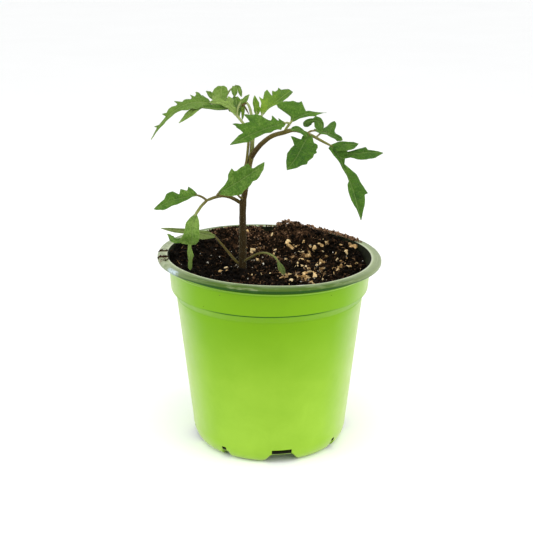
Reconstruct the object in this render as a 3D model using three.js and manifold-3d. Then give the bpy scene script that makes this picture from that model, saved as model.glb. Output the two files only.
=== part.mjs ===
import * as THREE from 'three';
import { mergeVertices } from 'three/addons/utils/BufferGeometryUtils.js';
import Module from 'manifold-3d';

// Young tomato plant in a 13 cm nursery pot. Millimetres, +Z up, the origin at the centre of the pot's
// base and the front of the pot towards -Y.

const wasm = await Module();
wasm.setup();

// Driving dimensions
const GAP = 0.3; // clear space between neighbouring pieces
const POT_HEIGHT = 113;
const RIM_RADIUS = 65;
const WALL = 1; // thickness of the pot's sheet
const FLOOR = 1.2; // thickness of the pot's base
const FOOT = { radius: 40.7, corner: [5.6, 11] }; // flat ring the pot stands on, and its rounded corner
const BODY_TOP = [54.4, 89.5]; // radius and height where the tapered body ends
const COLLAR = [[57.7, 94], [58.6, 109]]; // the wider collar under the rim
const LIP = { inside: 63.8, bottom: 110.4, ceiling: 111.7 }; // down-turned edge of the rim
// The rolled rim's top, from its outer edge in to the pot's inside face
const RIM_TOP = [[RIM_RADIUS, 111.8], [64.2, 112.8], [62.7, POT_HEIGHT], [60, 112.9], [58.9, 112.6]];
const RIM_SKEW = 0.0235; // the rim drops by this much per millimetre towards +X
// Drainage channels across the base and grooves between them: bearings in degrees, half widths at the
// bottom and top, height, half width and height of the slot through the wall above each, and start
const CHANNEL = { bearings: [9, 99, 189, 279], half: [10.5, 6], height: 6, slot: [5.8, 1.6], start: 0 };
const GROOVE = { bearings: [55, 145, 235, 325], half: [2.6, 2], height: 4.6, slot: [1.5, 1], start: 24 };
const UNDERCUT = 0.01; // how far the channels are cut past the base's own plane
const SLOT_START = 36; // radius where the slots begin, inside the wall
const ROOF_END = 44.2; // radius where the channels' roofs end at a slot, which leaves the wall open below it
const BLADE_THICKNESS = 0.8;
const STALK_SUNK = 1.5; // how far a stalk runs into its blade
const TIP_HALF_WIDTH = 0.25;
const SOIL_LEVEL = 100.3;
// The soil's bank round the back and sides, the heap against the back rim, the bare patch of wall and
// the mound at the stem: rise in mm, where it lies and how far it spreads, in mm or radians
const BANK = { rise: 10, bearing: 1.83, lift: 0.55, fall: 0.9, from: 34, width: 20 };
const HEAP = { rise: 4.5, bearing: 1.3, spread: 0.42, from: 46, width: 9 };
const BARE = { rise: -7, x: -1, spread: 5, from: 50, width: 5 };
const MOUND = { rise: 1.2, x: -16, y: 4, spread: 14 };
// Low waves over the soil: rise in mm, radians per mm along X and Y, and shift in radians
const WAVES = [[0.35, 0.31, 0.27, 1], [0.35, 0.31, -0.27, 1], [0.4, 0.63, -0.5, 0]];
const SOIL_RINGS = [54, 50, 45, 39, 32, 24, 16, 8];
const CRUMBS = { seed: 7, inBed: 30, reach: 54, proud: 0.2, clearOfStem: 7, smallest: 1.1, largest: 2.6 };
// Crumbs that spilled from the heap onto the rim: how far out and round they lie, and their height over it
const SPILL = { crumbs: 12, out: 6, start: 0.55, round: 1.05, sunk: 1, proud: 0.9 };
const ROUND_SIDES = 48;
const ABOVE_ALL = 140; // higher than anything in or on the pot that is cut or turned

const FINISH = {
  pot: { color: 0x8fc63d, roughness: 0.45, metalness: 0 },
  soil: { color: 0x2a1d14, roughness: 1, metalness: 0 },
  stem: { color: 0x4c3d26, roughness: 0.7, metalness: 0 },
  leaf: { color: 0x4a7a2f, roughness: 0.6, metalness: 0 },
  youngLeaf: { color: 0x7a9e45, roughness: 0.6, metalness: 0 },
};

// A closed geometry becomes a solid once its shared vertices are merged and its flat triangles dropped
function toSolid(geometry) {
  for (const name of ['normal', 'uv']) geometry.deleteAttribute(name);
  const merged = mergeVertices(geometry, 1e-4);
  const corners = merged.index.array;
  const kept = [];
  for (let i = 0; i < corners.length; i += 3) {
    const [a, b, c] = corners.slice(i, i + 3);
    if (a !== b && b !== c && c !== a) kept.push(a, b, c);
  }
  return new wasm.Manifold(new wasm.Mesh({
    numProp: 3,
    vertProperties: new Float32Array(merged.attributes.position.array),
    triVerts: new Uint32Array(kept),
  }));
}

function toMesh(name, solid, finish) {
  const { vertProperties, triVerts } = solid.simplify(0.01).getMesh();
  const geometry = new THREE.BufferGeometry();
  geometry.setAttribute('position', new THREE.BufferAttribute(vertProperties, 3));
  geometry.setIndex(new THREE.BufferAttribute(triVerts, 1));
  geometry.computeVertexNormals();
  const mesh = new THREE.Mesh(geometry, new THREE.MeshStandardMaterial(finish));
  mesh.name = name;
  return mesh;
}

const joined = (solids) => wasm.Manifold.union(solids);
const vector = ([x, y, z]) => new THREE.Vector3(x, y, z);
const curveThrough = (points) => new THREE.CatmullRomCurve3(points.map(vector), false, 'catmullrom', 0.5);
const ease = (t) => THREE.MathUtils.smoothstep(t, 0, 1);

// Value at t (0 to 1) in a list of evenly spaced values
function spread(values, t) {
  const place = t * (values.length - 1);
  const i = Math.min(Math.floor(place), values.length - 2);
  return THREE.MathUtils.lerp(values[i], values[i + 1], place - i);
}

// A path made longer at both ends
function longer(path, by) {
  const pushed = (end, next) => {
    const [from, to] = [vector(next), vector(end)];
    return to.clone().sub(from).setLength(by).add(to).toArray();
  };
  return [pushed(path[0], path[1]), ...path.slice(1, -1), pushed(path.at(-1), path.at(-2))];
}

// A cylinder bent along a curve, its radius following the given list from one end to the other
function bentRod(path, radii, sides = 6, step = 4) {
  const curve = curveThrough(path);
  const steps = Math.max(2, Math.round(curve.getLength() / step));
  const frames = curve.computeFrenetFrames(steps, false);
  const geometry = new THREE.CylinderGeometry(1, 1, 1, sides, steps);
  const spots = geometry.attributes.position;
  for (let i = 0; i < spots.count; i += 1) {
    const t = spots.getY(i) + 0.5;
    const ring = Math.round(t * steps);
    const radius = spread(radii, t);
    const spot = curve.getPointAt(ring / steps)
      .addScaledVector(frames.binormals[ring], radius * spots.getX(i))
      .addScaledVector(frames.normals[ring], radius * spots.getZ(i));
    spots.setXYZ(i, spot.x, spot.y, spot.z);
  }
  return toSolid(geometry);
}

// A solid turned about Z from an outline of radius and height that starts and ends on the axis
function turned(outline, reshape = () => {}) {
  const points = outline.map(([r, z]) => new THREE.Vector2(r, z));
  const geometry = new THREE.LatheGeometry(points, ROUND_SIDES).rotateX(Math.PI / 2);
  reshape(geometry.attributes.position);
  return toSolid(geometry);
}

// Quarter of an ellipse from the point under its centre out to its side, as points of a turned outline
function roundedCorner([r, z], [across, up], steps = 4) {
  return Array.from({ length: steps + 1 }, (_, i) => {
    const angle = (i / steps) * Math.PI / 2;
    return [r + across * Math.sin(angle), z + up * (1 - Math.cos(angle))];
  });
}

// The collar and rim stand slightly skewed on the body
function skew(spots) {
  const [start, end] = [COLLAR[0][1], POT_HEIGHT];
  for (let i = 0; i < spots.count; i += 1) {
    const share = THREE.MathUtils.clamp((spots.getZ(i) - start) / (end - start), 0, 1);
    spots.setZ(i, spots.getZ(i) - RIM_SKEW * share * spots.getX(i));
  }
}

// Inside face of the pot, moved inwards by a clearance, as a turned outline from the base to the rim
function insideOutline(clear) {
  const [across, up] = FOOT.corner;
  return [
    ...roundedCorner([FOOT.radius - WALL / 2 - clear, FLOOR + clear], [across - WALL / 2, up - FLOOR]),
    [BODY_TOP[0] - WALL - clear, BODY_TOP[1] + clear],
    ...COLLAR.map(([r, z]) => [r - WALL - clear, z + clear]),
  ];
}

// A bar under the pot's base that runs outwards at a bearing, 0 at the front and 90 at the right.
// Its section is a trapezium on the ground: half widths at the bottom and top, and its height.
function radialBar(bearing, [low, high], bottom, top, from, to) {
  const section = new THREE.Shape([[-low, bottom], [low, bottom], [high, top], [-high, top]]
    .map(([x, y]) => new THREE.Vector2(x, y)));
  const angle = THREE.MathUtils.degToRad(bearing);
  const across = new THREE.Vector3(Math.cos(angle), Math.sin(angle), 0);
  const outwards = new THREE.Vector3(Math.sin(angle), -Math.cos(angle), 0);
  const place = new THREE.Matrix4().makeBasis(across, new THREE.Vector3(0, 0, 1), outwards);
  place.setPosition(outwards.clone().multiplyScalar(from));
  const bar = new THREE.ExtrudeGeometry(section, { depth: to - from, bevelEnabled: false });
  return toSolid(bar.applyMatrix4(place));
}

// The raised strips of the base over its channels and grooves, grown by a clearance
function raisedStrips(clear) {
  const bars = [];
  for (const { bearings, half, height, start } of [CHANNEL, GROOVE]) {
    const thick = FLOOR + clear;
    for (const bearing of bearings) {
      const widths = half.map((width) => width + thick);
      bars.push(radialBar(bearing, widths, 0, height + thick, Math.max(start - thick, 0), RIM_RADIUS));
    }
  }
  return joined(bars);
}

function makePot() {
  const outside = turned([
    [0, 0], ...roundedCorner([FOOT.radius, 0], FOOT.corner), BODY_TOP, ...COLLAR,
    [COLLAR[1][0] + 0.1, LIP.ceiling], [LIP.inside - 0.1, LIP.ceiling], [LIP.inside, LIP.bottom],
    [RIM_RADIUS, LIP.bottom], ...RIM_TOP, [0, RIM_TOP.at(-1)[1]],
  ], skew);
  const [mouth, mouthTop] = RIM_TOP.at(-1);
  const inside = turned([
    [0, FLOOR], ...insideOutline(0), [mouth, mouthTop], [mouth, ABOVE_ALL], [0, ABOVE_ALL],
  ], skew);
  const cuts = [];
  for (const { bearings, half, height, slot: [width, rise], start } of [CHANNEL, GROOVE]) {
    for (const bearing of bearings) {
      const roof = height + FLOOR;
      const even = [width, width];
      cuts.push(radialBar(bearing, half, 0, height, start, RIM_RADIUS).translate([0, 0, -UNDERCUT]));
      cuts.push(radialBar(bearing, even, roof, roof + rise, SLOT_START, RIM_RADIUS));
      cuts.push(radialBar(bearing, even, height / 2, roof + rise / 2, ROOF_END, RIM_RADIUS));
    }
  }
  return outside.subtract(inside).add(raisedStrips(0).intersect(outside)).subtract(joined(cuts));
}

// Seeded random numbers from 0 to 1
function randomFrom(seed) {
  let state = seed;
  return () => {
    state = (state * 1664525 + 1013904223) % 4294967296;
    return state / 4294967296;
  };
}

// Height of the soil at a point
const bell = (value, width) => Math.exp(-((value / width) ** 2));
function soilHeight(x, y) {
  const r = Math.hypot(x, y);
  const bearing = Math.atan2(y, x);
  const facing = ease((Math.cos(bearing - BANK.bearing) + BANK.lift) / BANK.fall);
  const bank = BANK.rise * facing * ease((r - BANK.from) / BANK.width);
  const heap = HEAP.rise * bell(bearing - HEAP.bearing, HEAP.spread) * ease((r - HEAP.from) / HEAP.width);
  const bare = BARE.rise * bell(x - BARE.x, BARE.spread) * ease((y - BARE.from) / BARE.width);
  const mound = MOUND.rise * bell(Math.hypot(x - MOUND.x, y - MOUND.y), MOUND.spread);
  const waves = WAVES.reduce((sum, [rise, alongX, alongY, shift]) => (
    sum + rise * Math.sin(alongX * x + alongY * y + shift)), 0);
  return SOIL_LEVEL + bank + heap + bare + mound + waves;
}

// One crumb of bark, an uneven lump of twenty faces
function crumb(random, [x, y, z]) {
  const size = THREE.MathUtils.lerp(CRUMBS.smallest, CRUMBS.largest, random());
  const [wide, deep, high] = [0.7, 0.6, 0.4].map((least) => size * (least + 0.4 * random()));
  const lump = new THREE.IcosahedronGeometry(1, 0).scale(wide, deep, high);
  return toSolid(lump.rotateX(Math.PI * random()).rotateZ(Math.PI * random()).translate(x, y, z));
}

function makeSoil(stemHole) {
  const clear = GAP + 0.05;
  const wall = insideOutline(clear);
  const bed = turned([
    [0, FLOOR + clear], ...wall, ...SOIL_RINGS.map((r) => [r, ABOVE_ALL]), [0, ABOVE_ALL],
  ], (spots) => {
    for (let i = 0; i < spots.count; i += 1) {
      if (spots.getZ(i) > COLLAR[0][1] + 1) spots.setZ(i, soilHeight(spots.getX(i), spots.getY(i)));
    }
  });
  const random = randomFrom(CRUMBS.seed);
  const crumbs = [];
  for (let i = 0; i < CRUMBS.inBed; i += 1) {
    const [r, angle] = [CRUMBS.reach * Math.sqrt(random()), 2 * Math.PI * random()];
    const [x, y] = [r * Math.cos(angle), r * Math.sin(angle)];
    const lump = crumb(random, [x, y, soilHeight(x, y) + CRUMBS.proud]);
    if (Math.hypot(x - MOUND.x, y - MOUND.y) > CRUMBS.clearOfStem) crumbs.push(lump);
  }
  for (let i = 0; i < SPILL.crumbs; i += 1) {
    const [r, angle] = [CRUMBS.reach + SPILL.out * random(), SPILL.start + SPILL.round * random()];
    const [x, y] = [r * Math.cos(angle), r * Math.sin(angle)];
    const onRim = POT_HEIGHT + SPILL.proud - RIM_SKEW * x;
    crumbs.push(crumb(random, [x, y, Math.max(soilHeight(x, y) - SPILL.sunk, onRim)]));
  }
  const rimTop = POT_HEIGHT + GAP;
  const room = turned([
    [0, FLOOR + clear], ...wall, [COLLAR[1][0] - WALL - GAP, rimTop], [RIM_RADIUS, rimTop],
    [RIM_RADIUS, ABOVE_ALL], [0, ABOVE_ALL],
  ], skew);
  const heaped = joined([bed, ...crumbs]).intersect(room).subtract(joined([raisedStrips(GAP), stemHole]));
  return heaped.decompose().sort((a, b) => b.volume() - a.volume())[0];
}

// A leaf blade: its midrib, the way its face looks, and [place along the midrib, reach in mm] of each
// point of its left and right edge. Side veins lean forward by lean degrees from the midrib, at the
// blade's base and tip, and the halves rise by cup degrees.
function blade(rib, face, left, right, lean = [85, 45], cup = 12) {
  const curve = curveThrough(rib);
  const sides = [left, right].map((edge) => [...edge, [1, TIP_HALF_WIDTH]]);
  const reachAt = (edge, u) => {
    const next = Math.max(1, edge.findIndex(([place]) => place >= u));
    const [[u0, w0], [u1, w1]] = [edge[next - 1], edge[next]];
    return THREE.MathUtils.mapLinear(u, u0, u1, w0, w1);
  };
  const places = [...new Set(sides.flat().map(([u]) => u))].sort((a, b) => b - a)
    .filter((u, i, all) => i === 0 || all[i - 1] - u > 0.015 || u === 0);
  const sheet = new THREE.PlaneGeometry(2, 1, 2, places.length - 1);
  const spots = sheet.attributes.position;
  const normals = [];
  for (let i = 0; i < spots.count; i += 1) {
    const u = places[Math.floor(i / 3)];
    const side = Math.round(spots.getX(i));
    const along = curve.getTangentAt(u);
    const across = along.clone().cross(vector(face)).normalize();
    const normal = across.clone().cross(along);
    const [turn, rise] = [lean[0] + (lean[1] - lean[0]) * u, cup].map(THREE.MathUtils.degToRad);
    const reach = side === 0 ? 0 : reachAt(sides[side < 0 ? 0 : 1], u);
    const spot = curve.getPointAt(u).addScaledVector(along, reach * Math.cos(turn))
      .addScaledVector(across, side * reach * Math.sin(turn) * Math.cos(rise))
      .addScaledVector(normal, reach * Math.sin(turn) * Math.sin(rise));
    spots.setXYZ(i, spot.x, spot.y, spot.z);
    normals.push(normal);
  }
  return toSolid(thicken(sheet, normals));
}

// A sheet given its thickness: both faces are split into triangles alike, with a wall round the edge
function thicken(sheet, normals) {
  const spots = sheet.attributes.position;
  const faces = Array.from(sheet.index.array);
  const corners = [];
  for (const half of [0.5, -0.5]) {
    for (let i = 0; i < spots.count; i += 1) {
      const spot = new THREE.Vector3().fromBufferAttribute(spots, i);
      spot.addScaledVector(normals[i], half * BLADE_THICKNESS);
      corners.push(spot.x, spot.y, spot.z);
    }
  }
  const triangles = [];
  const edges = new Map();
  for (let i = 0; i < faces.length; i += 3) {
    const [a, b, c] = faces.slice(i, i + 3);
    triangles.push(a, b, c, a + spots.count, c + spots.count, b + spots.count);
    for (const [from, to] of [[a, b], [b, c], [c, a]]) {
      if (!edges.delete(`${to} ${from}`)) edges.set(`${from} ${to}`, [from, to]);
    }
  }
  for (const [from, to] of edges.values()) {
    triangles.push(to, from, from + spots.count, to, from + spots.count, to + spots.count);
  }
  const solid = new THREE.BufferGeometry();
  solid.setAttribute('position', new THREE.Float32BufferAttribute(corners, 3));
  return solid.setIndex(triangles);
}

// A leaf stalk: it runs on past its last point, into the blade that it carries
function stalk(path, radii) {
  return bentRod([...path, longer(path, STALK_SUNK).at(-1)], radii);
}

const lowerLeftLeaf = [
  stalk([[-15.5, 4, 141], [-19, 2.5, 143.6], [-22.1, 0, 145.9], [-26, -4, 147.8], [-30.3, -8, 148.1],
         [-35.2, -10.5, 146.8]], [1.1, 0.7]),
  stalk([[-29.5, -7.5, 148.1], [-29.2, -10, 149.8], [-28.4, -12, 151.3]], [0.8, 0.7]),
  stalk([[-35.2, -10.5, 146.8], [-38, -11.5, 149], [-40.5, -12, 150.1]], [0.65, 0.6]),
  stalk([[-35.2, -10.5, 146.8], [-38.3, -13, 144], [-41.3, -16, 140.1]], [0.7, 0.6]),
  blade([[-28.4, -12, 151.3], [-19.4, -15, 157.2], [-10.6, -19, 163.7], [-3, -23, 171]],
        [-0.1, -0.9, 0.45],
        [[0, 0.8], [0.19, 3.6], [0.26, 7], [0.33, 8.9], [0.41, 6.1], [0.53, 7], [0.66, 6.2],
         [0.72, 2.8], [0.81, 1.5]],
        [[0, 1], [0.06, 3], [0.17, 6.5], [0.28, 7.7], [0.46, 7.2], [0.57, 6.9], [0.67, 5.9],
         [0.82, 4.8], [0.94, 2]]),
  blade([[-40.5, -12, 150.1], [-47.3, -15, 149.4], [-55.3, -18, 148], [-63.9, -21, 144.4]],
        [-0.1, -0.6, 0.8],
        [[0, 0.6], [0.15, 0.5], [0.35, 4], [0.57, 5.4], [0.81, 4.6], [0.95, 2]],
        [[0, 1.5], [0.05, 3.9], [0.12, 7.1], [0.22, 4.7], [0.29, 5.8], [0.36, 3.4], [0.46, 5.8],
         [0.58, 5.3], [0.72, 2.8], [0.9, 1.4]], [100, 50]),
  blade([[-41.3, -16, 140.1], [-42.2, -18.5, 137], [-42.9, -21, 134], [-43, -22.5, 129.5],
         [-43.7, -21, 123.7]], [0, -0.95, 0.25],
        [[0, 0.9], [0.14, 2.9], [0.31, 4], [0.5, 4.2], [0.65, 4.6], [0.8, 3.8], [0.93, 2.4]],
        [[0, 0.9], [0.14, 2.8], [0.3, 4.1], [0.45, 4.3], [0.57, 5], [0.67, 6.1], [0.81, 7.6],
         [0.92, 5.5]], [75, 80]),
  blade([[-47, -21, 126.6], [-52.4, -20, 125.6], [-55.4, -17, 126], [-57.5, -15, 128.3]], [0, -0.9, 0.4],
        [[0, 1.5], [0.3, 1.2], [0.63, 1.4], [0.85, 0.6]],
        [[0, 1.5], [0.3, 1.6], [0.55, 2.7], [0.83, 1.7]], [80, 50]),
  blade([[-44.5, -21.3, 126], [-44.6, -21.5, 120], [-44.5, -21, 115.3], [-44.7, -20, 108.7]],
        [0.2, -0.95, 0.1],
        [[0, 1], [0.22, 0.8], [0.33, 1.6], [0.46, 2.1], [0.62, 1.1], [0.9, 1]],
        [[0, 1], [0.2, 1.2], [0.36, 1.6], [0.6, 1.3], [0.9, 1.5]], [80, 80]),
];

const rightLeaf = [
  stalk([[-10.6, 4, 168], [-8.3, 2.4, 172], [-4.5, -1, 177.1], [1.1, -5, 182.1], [8, -8.5, 184.9],
         [13.1, -10, 186.4], [18.5, -12, 185.6], [23.1, -13, 184], [27.6, -14, 181.7],
         [33.3, -15, 178.9]], [1.5, 0.8]),
  stalk([[8, -8.5, 184.9], [9.6, -8, 187.6], [12.4, -5, 190.7]], [0.8, 0.6]),
  stalk([[10.6, -6.8, 188.8], [10.2, -9, 190.2], [8.6, -11, 190.6]], [0.6, 0.55]),
  stalk([[19.5, -12.2, 185.2], [20.8, -13, 185], [21.8, -14, 184.5]], [0.7, 0.6]),
  stalk([[20.5, -12.4, 184.9], [22.5, -9, 185.6], [24.9, -6, 185.5]], [0.6, 0.5]),
  stalk([[25.8, -13.7, 182.8], [26.3, -10, 183], [28.3, -5, 183.6], [31, -2, 183.4]], [0.5, 0.4]),
  // front leaflet, across the stem
  blade([[8.6, -11, 190.6], [2, -15, 189.4], [-6, -20, 187.3], [-13.2, -24, 184.8], [-21, -28, 181.7]],
        [-0.1, -0.8, 0.6],
        [[0, 1], [0.07, 3.3], [0.19, 4.2], [0.41, 3], [0.57, 4], [0.67, 4.2], [0.78, 3.3], [0.91, 1.6]],
        [[0, 1], [0.03, 3.2], [0.06, 3], [0.08, 6.4], [0.17, 3.6], [0.22, 7.8], [0.31, 12.3],
         [0.38, 13.7], [0.42, 8.8], [0.52, 10.5], [0.6, 12.4], [0.62, 9], [0.65, 4.1], [0.77, 3.3],
         [0.89, 1.8]], [70, 40]),
  // leaflet lying out behind
  blade([[12.4, -5, 190.7], [16.1, -4, 192.6], [21.8, -1, 194.2], [31.7, 3, 194.1]], [0, -0.75, 0.65],
        [[0, 1], [0.08, 4], [0.12, 9], [0.15, 12.8], [0.19, 11.5], [0.28, 11], [0.35, 8.6], [0.43, 7.8],
         [0.46, 3], [0.57, 1.2], [0.8, 0.6]],
        [[0, 0.8], [0.21, 1.3], [0.36, 3], [0.5, 3.4], [0.65, 2.8], [0.82, 1.4]], [130, 40]),
  // hanging leaflet
  blade([[21.8, -14, 184.5], [18.9, -17, 180.6], [14.8, -21, 173.6], [9.6, -25, 167.4]],
        [-0.2, -0.8, 0.5],
        [[0, 1.5], [0.12, 4], [0.18, 6.9], [0.23, 8.6], [0.37, 10.2], [0.48, 9.6], [0.58, 8.5],
         [0.75, 5.3], [0.9, 2.6]],
        [[0, 1.5], [0.17, 2.6], [0.23, 5.8], [0.25, 8.2], [0.36, 4.6], [0.47, 5.7], [0.58, 5.9],
         [0.76, 4.1], [0.92, 1.6]], [110, 40]),
  blade([[21, -14.8, 183.4], [18.9, -16, 186.2], [15.6, -18, 188.4], [11.6, -20, 188.2]], [0, -0.8, 0.6],
        [[0, 1.5], [0.3, 2.5], [0.57, 2.7], [0.8, 1.7]],
        [[0, 1.5], [0.3, 1.5], [0.5, 1], [0.75, 1.2]], [70, 40]),
  // lobed middle leaflet
  blade([[24.9, -6, 185.5], [30.5, -1, 183.8], [36.1, 2, 181.2], [41, 1, 178.9]], [0, -0.6, 0.8],
        [[0, 1], [0.24, 2.9], [0.37, 2], [0.45, 5], [0.52, 8.5], [0.57, 11.2], [0.62, 8.5], [0.68, 2.5],
         [0.87, 2.3]],
        [[0, 0.8], [0.12, 3], [0.24, 4.6], [0.38, 5.6], [0.6, 4.6], [0.77, 3.6], [0.92, 2]], [80, 50]),
  blade([[29.5, -2, 184.3], [28.9, 3, 188.3], [25.4, 6, 189.3], [21.6, 4, 188.8], [19.6, 0, 186.7]],
        [0.2, -0.7, 0.6],
        [[0, 1.5], [0.3, 1.8], [0.6, 1.6], [0.84, 1.8]],
        [[0, 1.5], [0.19, 1.8], [0.37, 2.7], [0.46, 2.4], [0.66, 1.2], [0.86, 1.5]], [80, 50]),
  // end leaflet: wing, two side lobes, long tip
  blade([[33.2, -15, 179], [36.3, -15.5, 175.4], [39.2, -16, 171], [40.7, -16, 166.5]], [0.1, -0.75, 0.6],
        [[0, 2.5], [0.12, 6], [0.3, 7], [0.5, 5.5], [0.6, 2.9], [0.77, 1.6]],
        [[0, 2.4], [0.28, 2.8], [0.59, 2.1], [0.86, 1.2]], [75, 60]),
  blade([[34.5, -15, 177.2], [38.8, -14, 178.8], [43.7, -13, 178.8], [48.8, -12, 179.2]], [0, -0.7, 0.7],
        [[0, 2], [0.2, 2.3], [0.49, 2.4], [0.76, 1.9]],
        [[0, 3], [0.11, 4.1], [0.3, 5.5], [0.63, 4], [0.85, 1.9]], [80, 40]),
  blade([[38, -15, 173.3], [46.1, -14, 173.9], [54.2, -14, 174.7], [62.3, -14, 174.5]], [0, -0.7, 0.7],
        [[0, 2], [0.16, 1.6], [0.33, 2.4], [0.55, 4], [0.63, 1.9], [0.86, 1.3]],
        [[0, 2], [0.04, 3], [0.22, 2.6], [0.32, 4.5], [0.49, 6.2], [0.71, 4.9], [0.88, 2.2]], [80, 45]),
  blade([[40, -16, 168.5], [43.3, -18, 161.6], [46.6, -20, 153], [48.8, -21, 145.3], [50.7, -22, 138.4]],
        [0.3, -0.8, 0.4],
        [[0, 1.2], [0.12, 2.9], [0.21, 5.6], [0.42, 7.5], [0.5, 8.9], [0.53, 6.6], [0.67, 5.3],
         [0.86, 2.6]],
        [[0, 1.2], [0.24, 0.6], [0.34, 2.5], [0.48, 3.7], [0.65, 3], [0.78, 1.2]], [80, 40]),
];

const upperLeftLeaf = [
  stalk([[-13, 4, 155], [-14.6, 3.4, 160], [-13.2, 3.2, 166], [-12.4, 2.9, 172.8], [-12, 2.7, 177.3],
         [-12.2, 2.5, 182], [-13.3, 2.2, 186], [-16.6, 2, 190.4], [-19.4, 2, 193.5], [-23.1, 2, 196.8],
         [-27.8, 2.5, 198.7], [-32.8, 2, 199.6]], [0.75, 0.75]),
  // end leaflet
  blade([[-32.9, 2, 199.6], [-40.8, -2, 200.5], [-47.6, -6, 199.3], [-54.4, -10, 195],
         [-59.8, -13, 189.6], [-65, -16, 182]], [-0.2, -0.6, 0.75],
        [[0, 2], [0.08, 6], [0.16, 8], [0.32, 8.3], [0.43, 4.2], [0.54, 3.4], [0.66, 4], [0.83, 1.8]],
        [[0, 2.5], [0.06, 5.2], [0.1, 4.6], [0.12, 7.6], [0.17, 6.5], [0.18, 3.9], [0.21, 5.6],
         [0.28, 3.4], [0.33, 3.9], [0.4, 5.4], [0.43, 2.3], [0.5, 4.4], [0.61, 4.6], [0.65, 1.2],
         [0.76, 2], [0.79, 3.7], [0.82, 1.4]], [75, 45]),
  blade([[-37, -2, 199.8], [-41.9, -8, 197.2], [-45.9, -11, 193.8], [-49.5, -13, 190.9]],
        [-0.2, -0.8, 0.5],
        [[0, 2.5], [0.3, 3.2], [0.52, 3.2], [0.79, 1.6]],
        [[0, 2], [0.4, 1.8], [0.62, 2.2], [0.86, 1]], [70, 40]),
  // pale upright leaflet
  blade([[-27.9, 3, 197.6], [-27.5, 9, 200.7], [-27.6, 14, 203.6], [-27.5, 17, 207.2]],
        [-0.1, -0.75, 0.65],
        [[0, 1.5], [0.2, 3.5], [0.38, 5.2], [0.6, 5.5], [0.78, 4.5], [0.93, 2.4]],
        [[0, 1.5], [0.2, 2.6], [0.41, 3.6], [0.63, 4.7], [0.82, 3.7], [0.94, 2]], [85, 60]),
  blade([[-28, 5, 198.6], [-31, 6, 201.5], [-33.5, 6, 203.3], [-35.6, 6, 205.6]], [-0.1, -0.7, 0.65],
        [[0, 1.5], [0.3, 1.8], [0.55, 1.8], [0.8, 0.9]],
        [[0, 1.5], [0.35, 1.4], [0.5, 2.5], [0.66, 2.5]], [70, 50]),
  // underside leaflet
  blade([[-23.2, 1.6, 196.3], [-29, -4, 196.6], [-33.4, -8, 197.6], [-37.2, -9, 197.3]], [0, -0.9, -0.3],
        [[0, 1], [0.14, 1], [0.51, 1.3], [0.79, 1]],
        [[0, 1], [0.31, 2], [0.58, 1.3], [0.79, 0.9]], [70, 50]),
  // basal leaflets round the petiole
  blade([[-17.8, 2.3, 191.6], [-18.6, 9, 196.8], [-19.3, 14.5, 201.2]], [0.45, -0.75, 0.5],
        [[0, 1.5], [0.25, 3.2], [0.4, 2.6], [0.6, 4.2], [0.75, 3], [0.9, 2.2]],
        [[0, 1], [0.2, 1.8], [0.38, 3.4], [0.5, 3], [0.68, 4.2], [0.8, 3], [0.93, 1.6]], [80, 60]),
  blade([[-21.3, 2, 194.6], [-22.2, 7, 198.4], [-23.2, 11, 201.6]], [0, -0.8, 0.6],
        [[0, 1.4], [0.3, 2.6], [0.5, 2.2], [0.65, 3], [0.85, 1.8]],
        [[0, 1.4], [0.3, 2.4], [0.5, 2], [0.7, 2.6], [0.88, 1.4]], [80, 60]),
  stalk([[-18.4, 1.6, 192.6], [-17.7, 1, 196.9], [-16.4, 1.6, 199.7]], [0.5, 0.4]),
  blade([[-16.6, 1.5, 199.3], [-14, 2, 201.8], [-11.4, 2.5, 204.1]], [0.1, -0.9, 0.4],
        [[0, 0.7], [0.2, 1.6], [0.35, 1], [0.6, 1.2], [0.85, 0.7]],
        [[0, 0.7], [0.15, 1.2], [0.4, 2.4], [0.55, 1], [0.85, 0.7]], [75, 40]),
  // arching young leaflet, folded into two lobes
  stalk([[-26.5, 2.5, 198.2], [-25.8, 8, 199.6], [-25, 12, 200.8], [-23, 16, 204.8], [-20.3, 17, 207.2]],
        [0.55, 0.45]),
  blade([[-20.4, 17, 207.5], [-20.3, 15, 205.7], [-20.1, 13, 204.1], [-20.1, 12, 201.5]], [0, -1, 0.1],
        [[0, 0.8], [0.25, 2.1], [0.61, 2.1], [0.85, 1]],
        [[0, 0.8], [0.37, 1.8], [0.62, 1.6], [0.89, 0.6]], [80, 60]),
  blade([[-19.8, 17, 207.3], [-17.7, 17, 206.5], [-16.6, 15, 204.6], [-16, 14, 201.5]], [0.3, -0.9, 0.1],
        [[0, 0.8], [0.28, 0.9], [0.65, 0.9], [0.85, 0.5]],
        [[0, 0.8], [0.3, 1.5], [0.61, 2], [0.88, 1]], [80, 60]),
];

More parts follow.
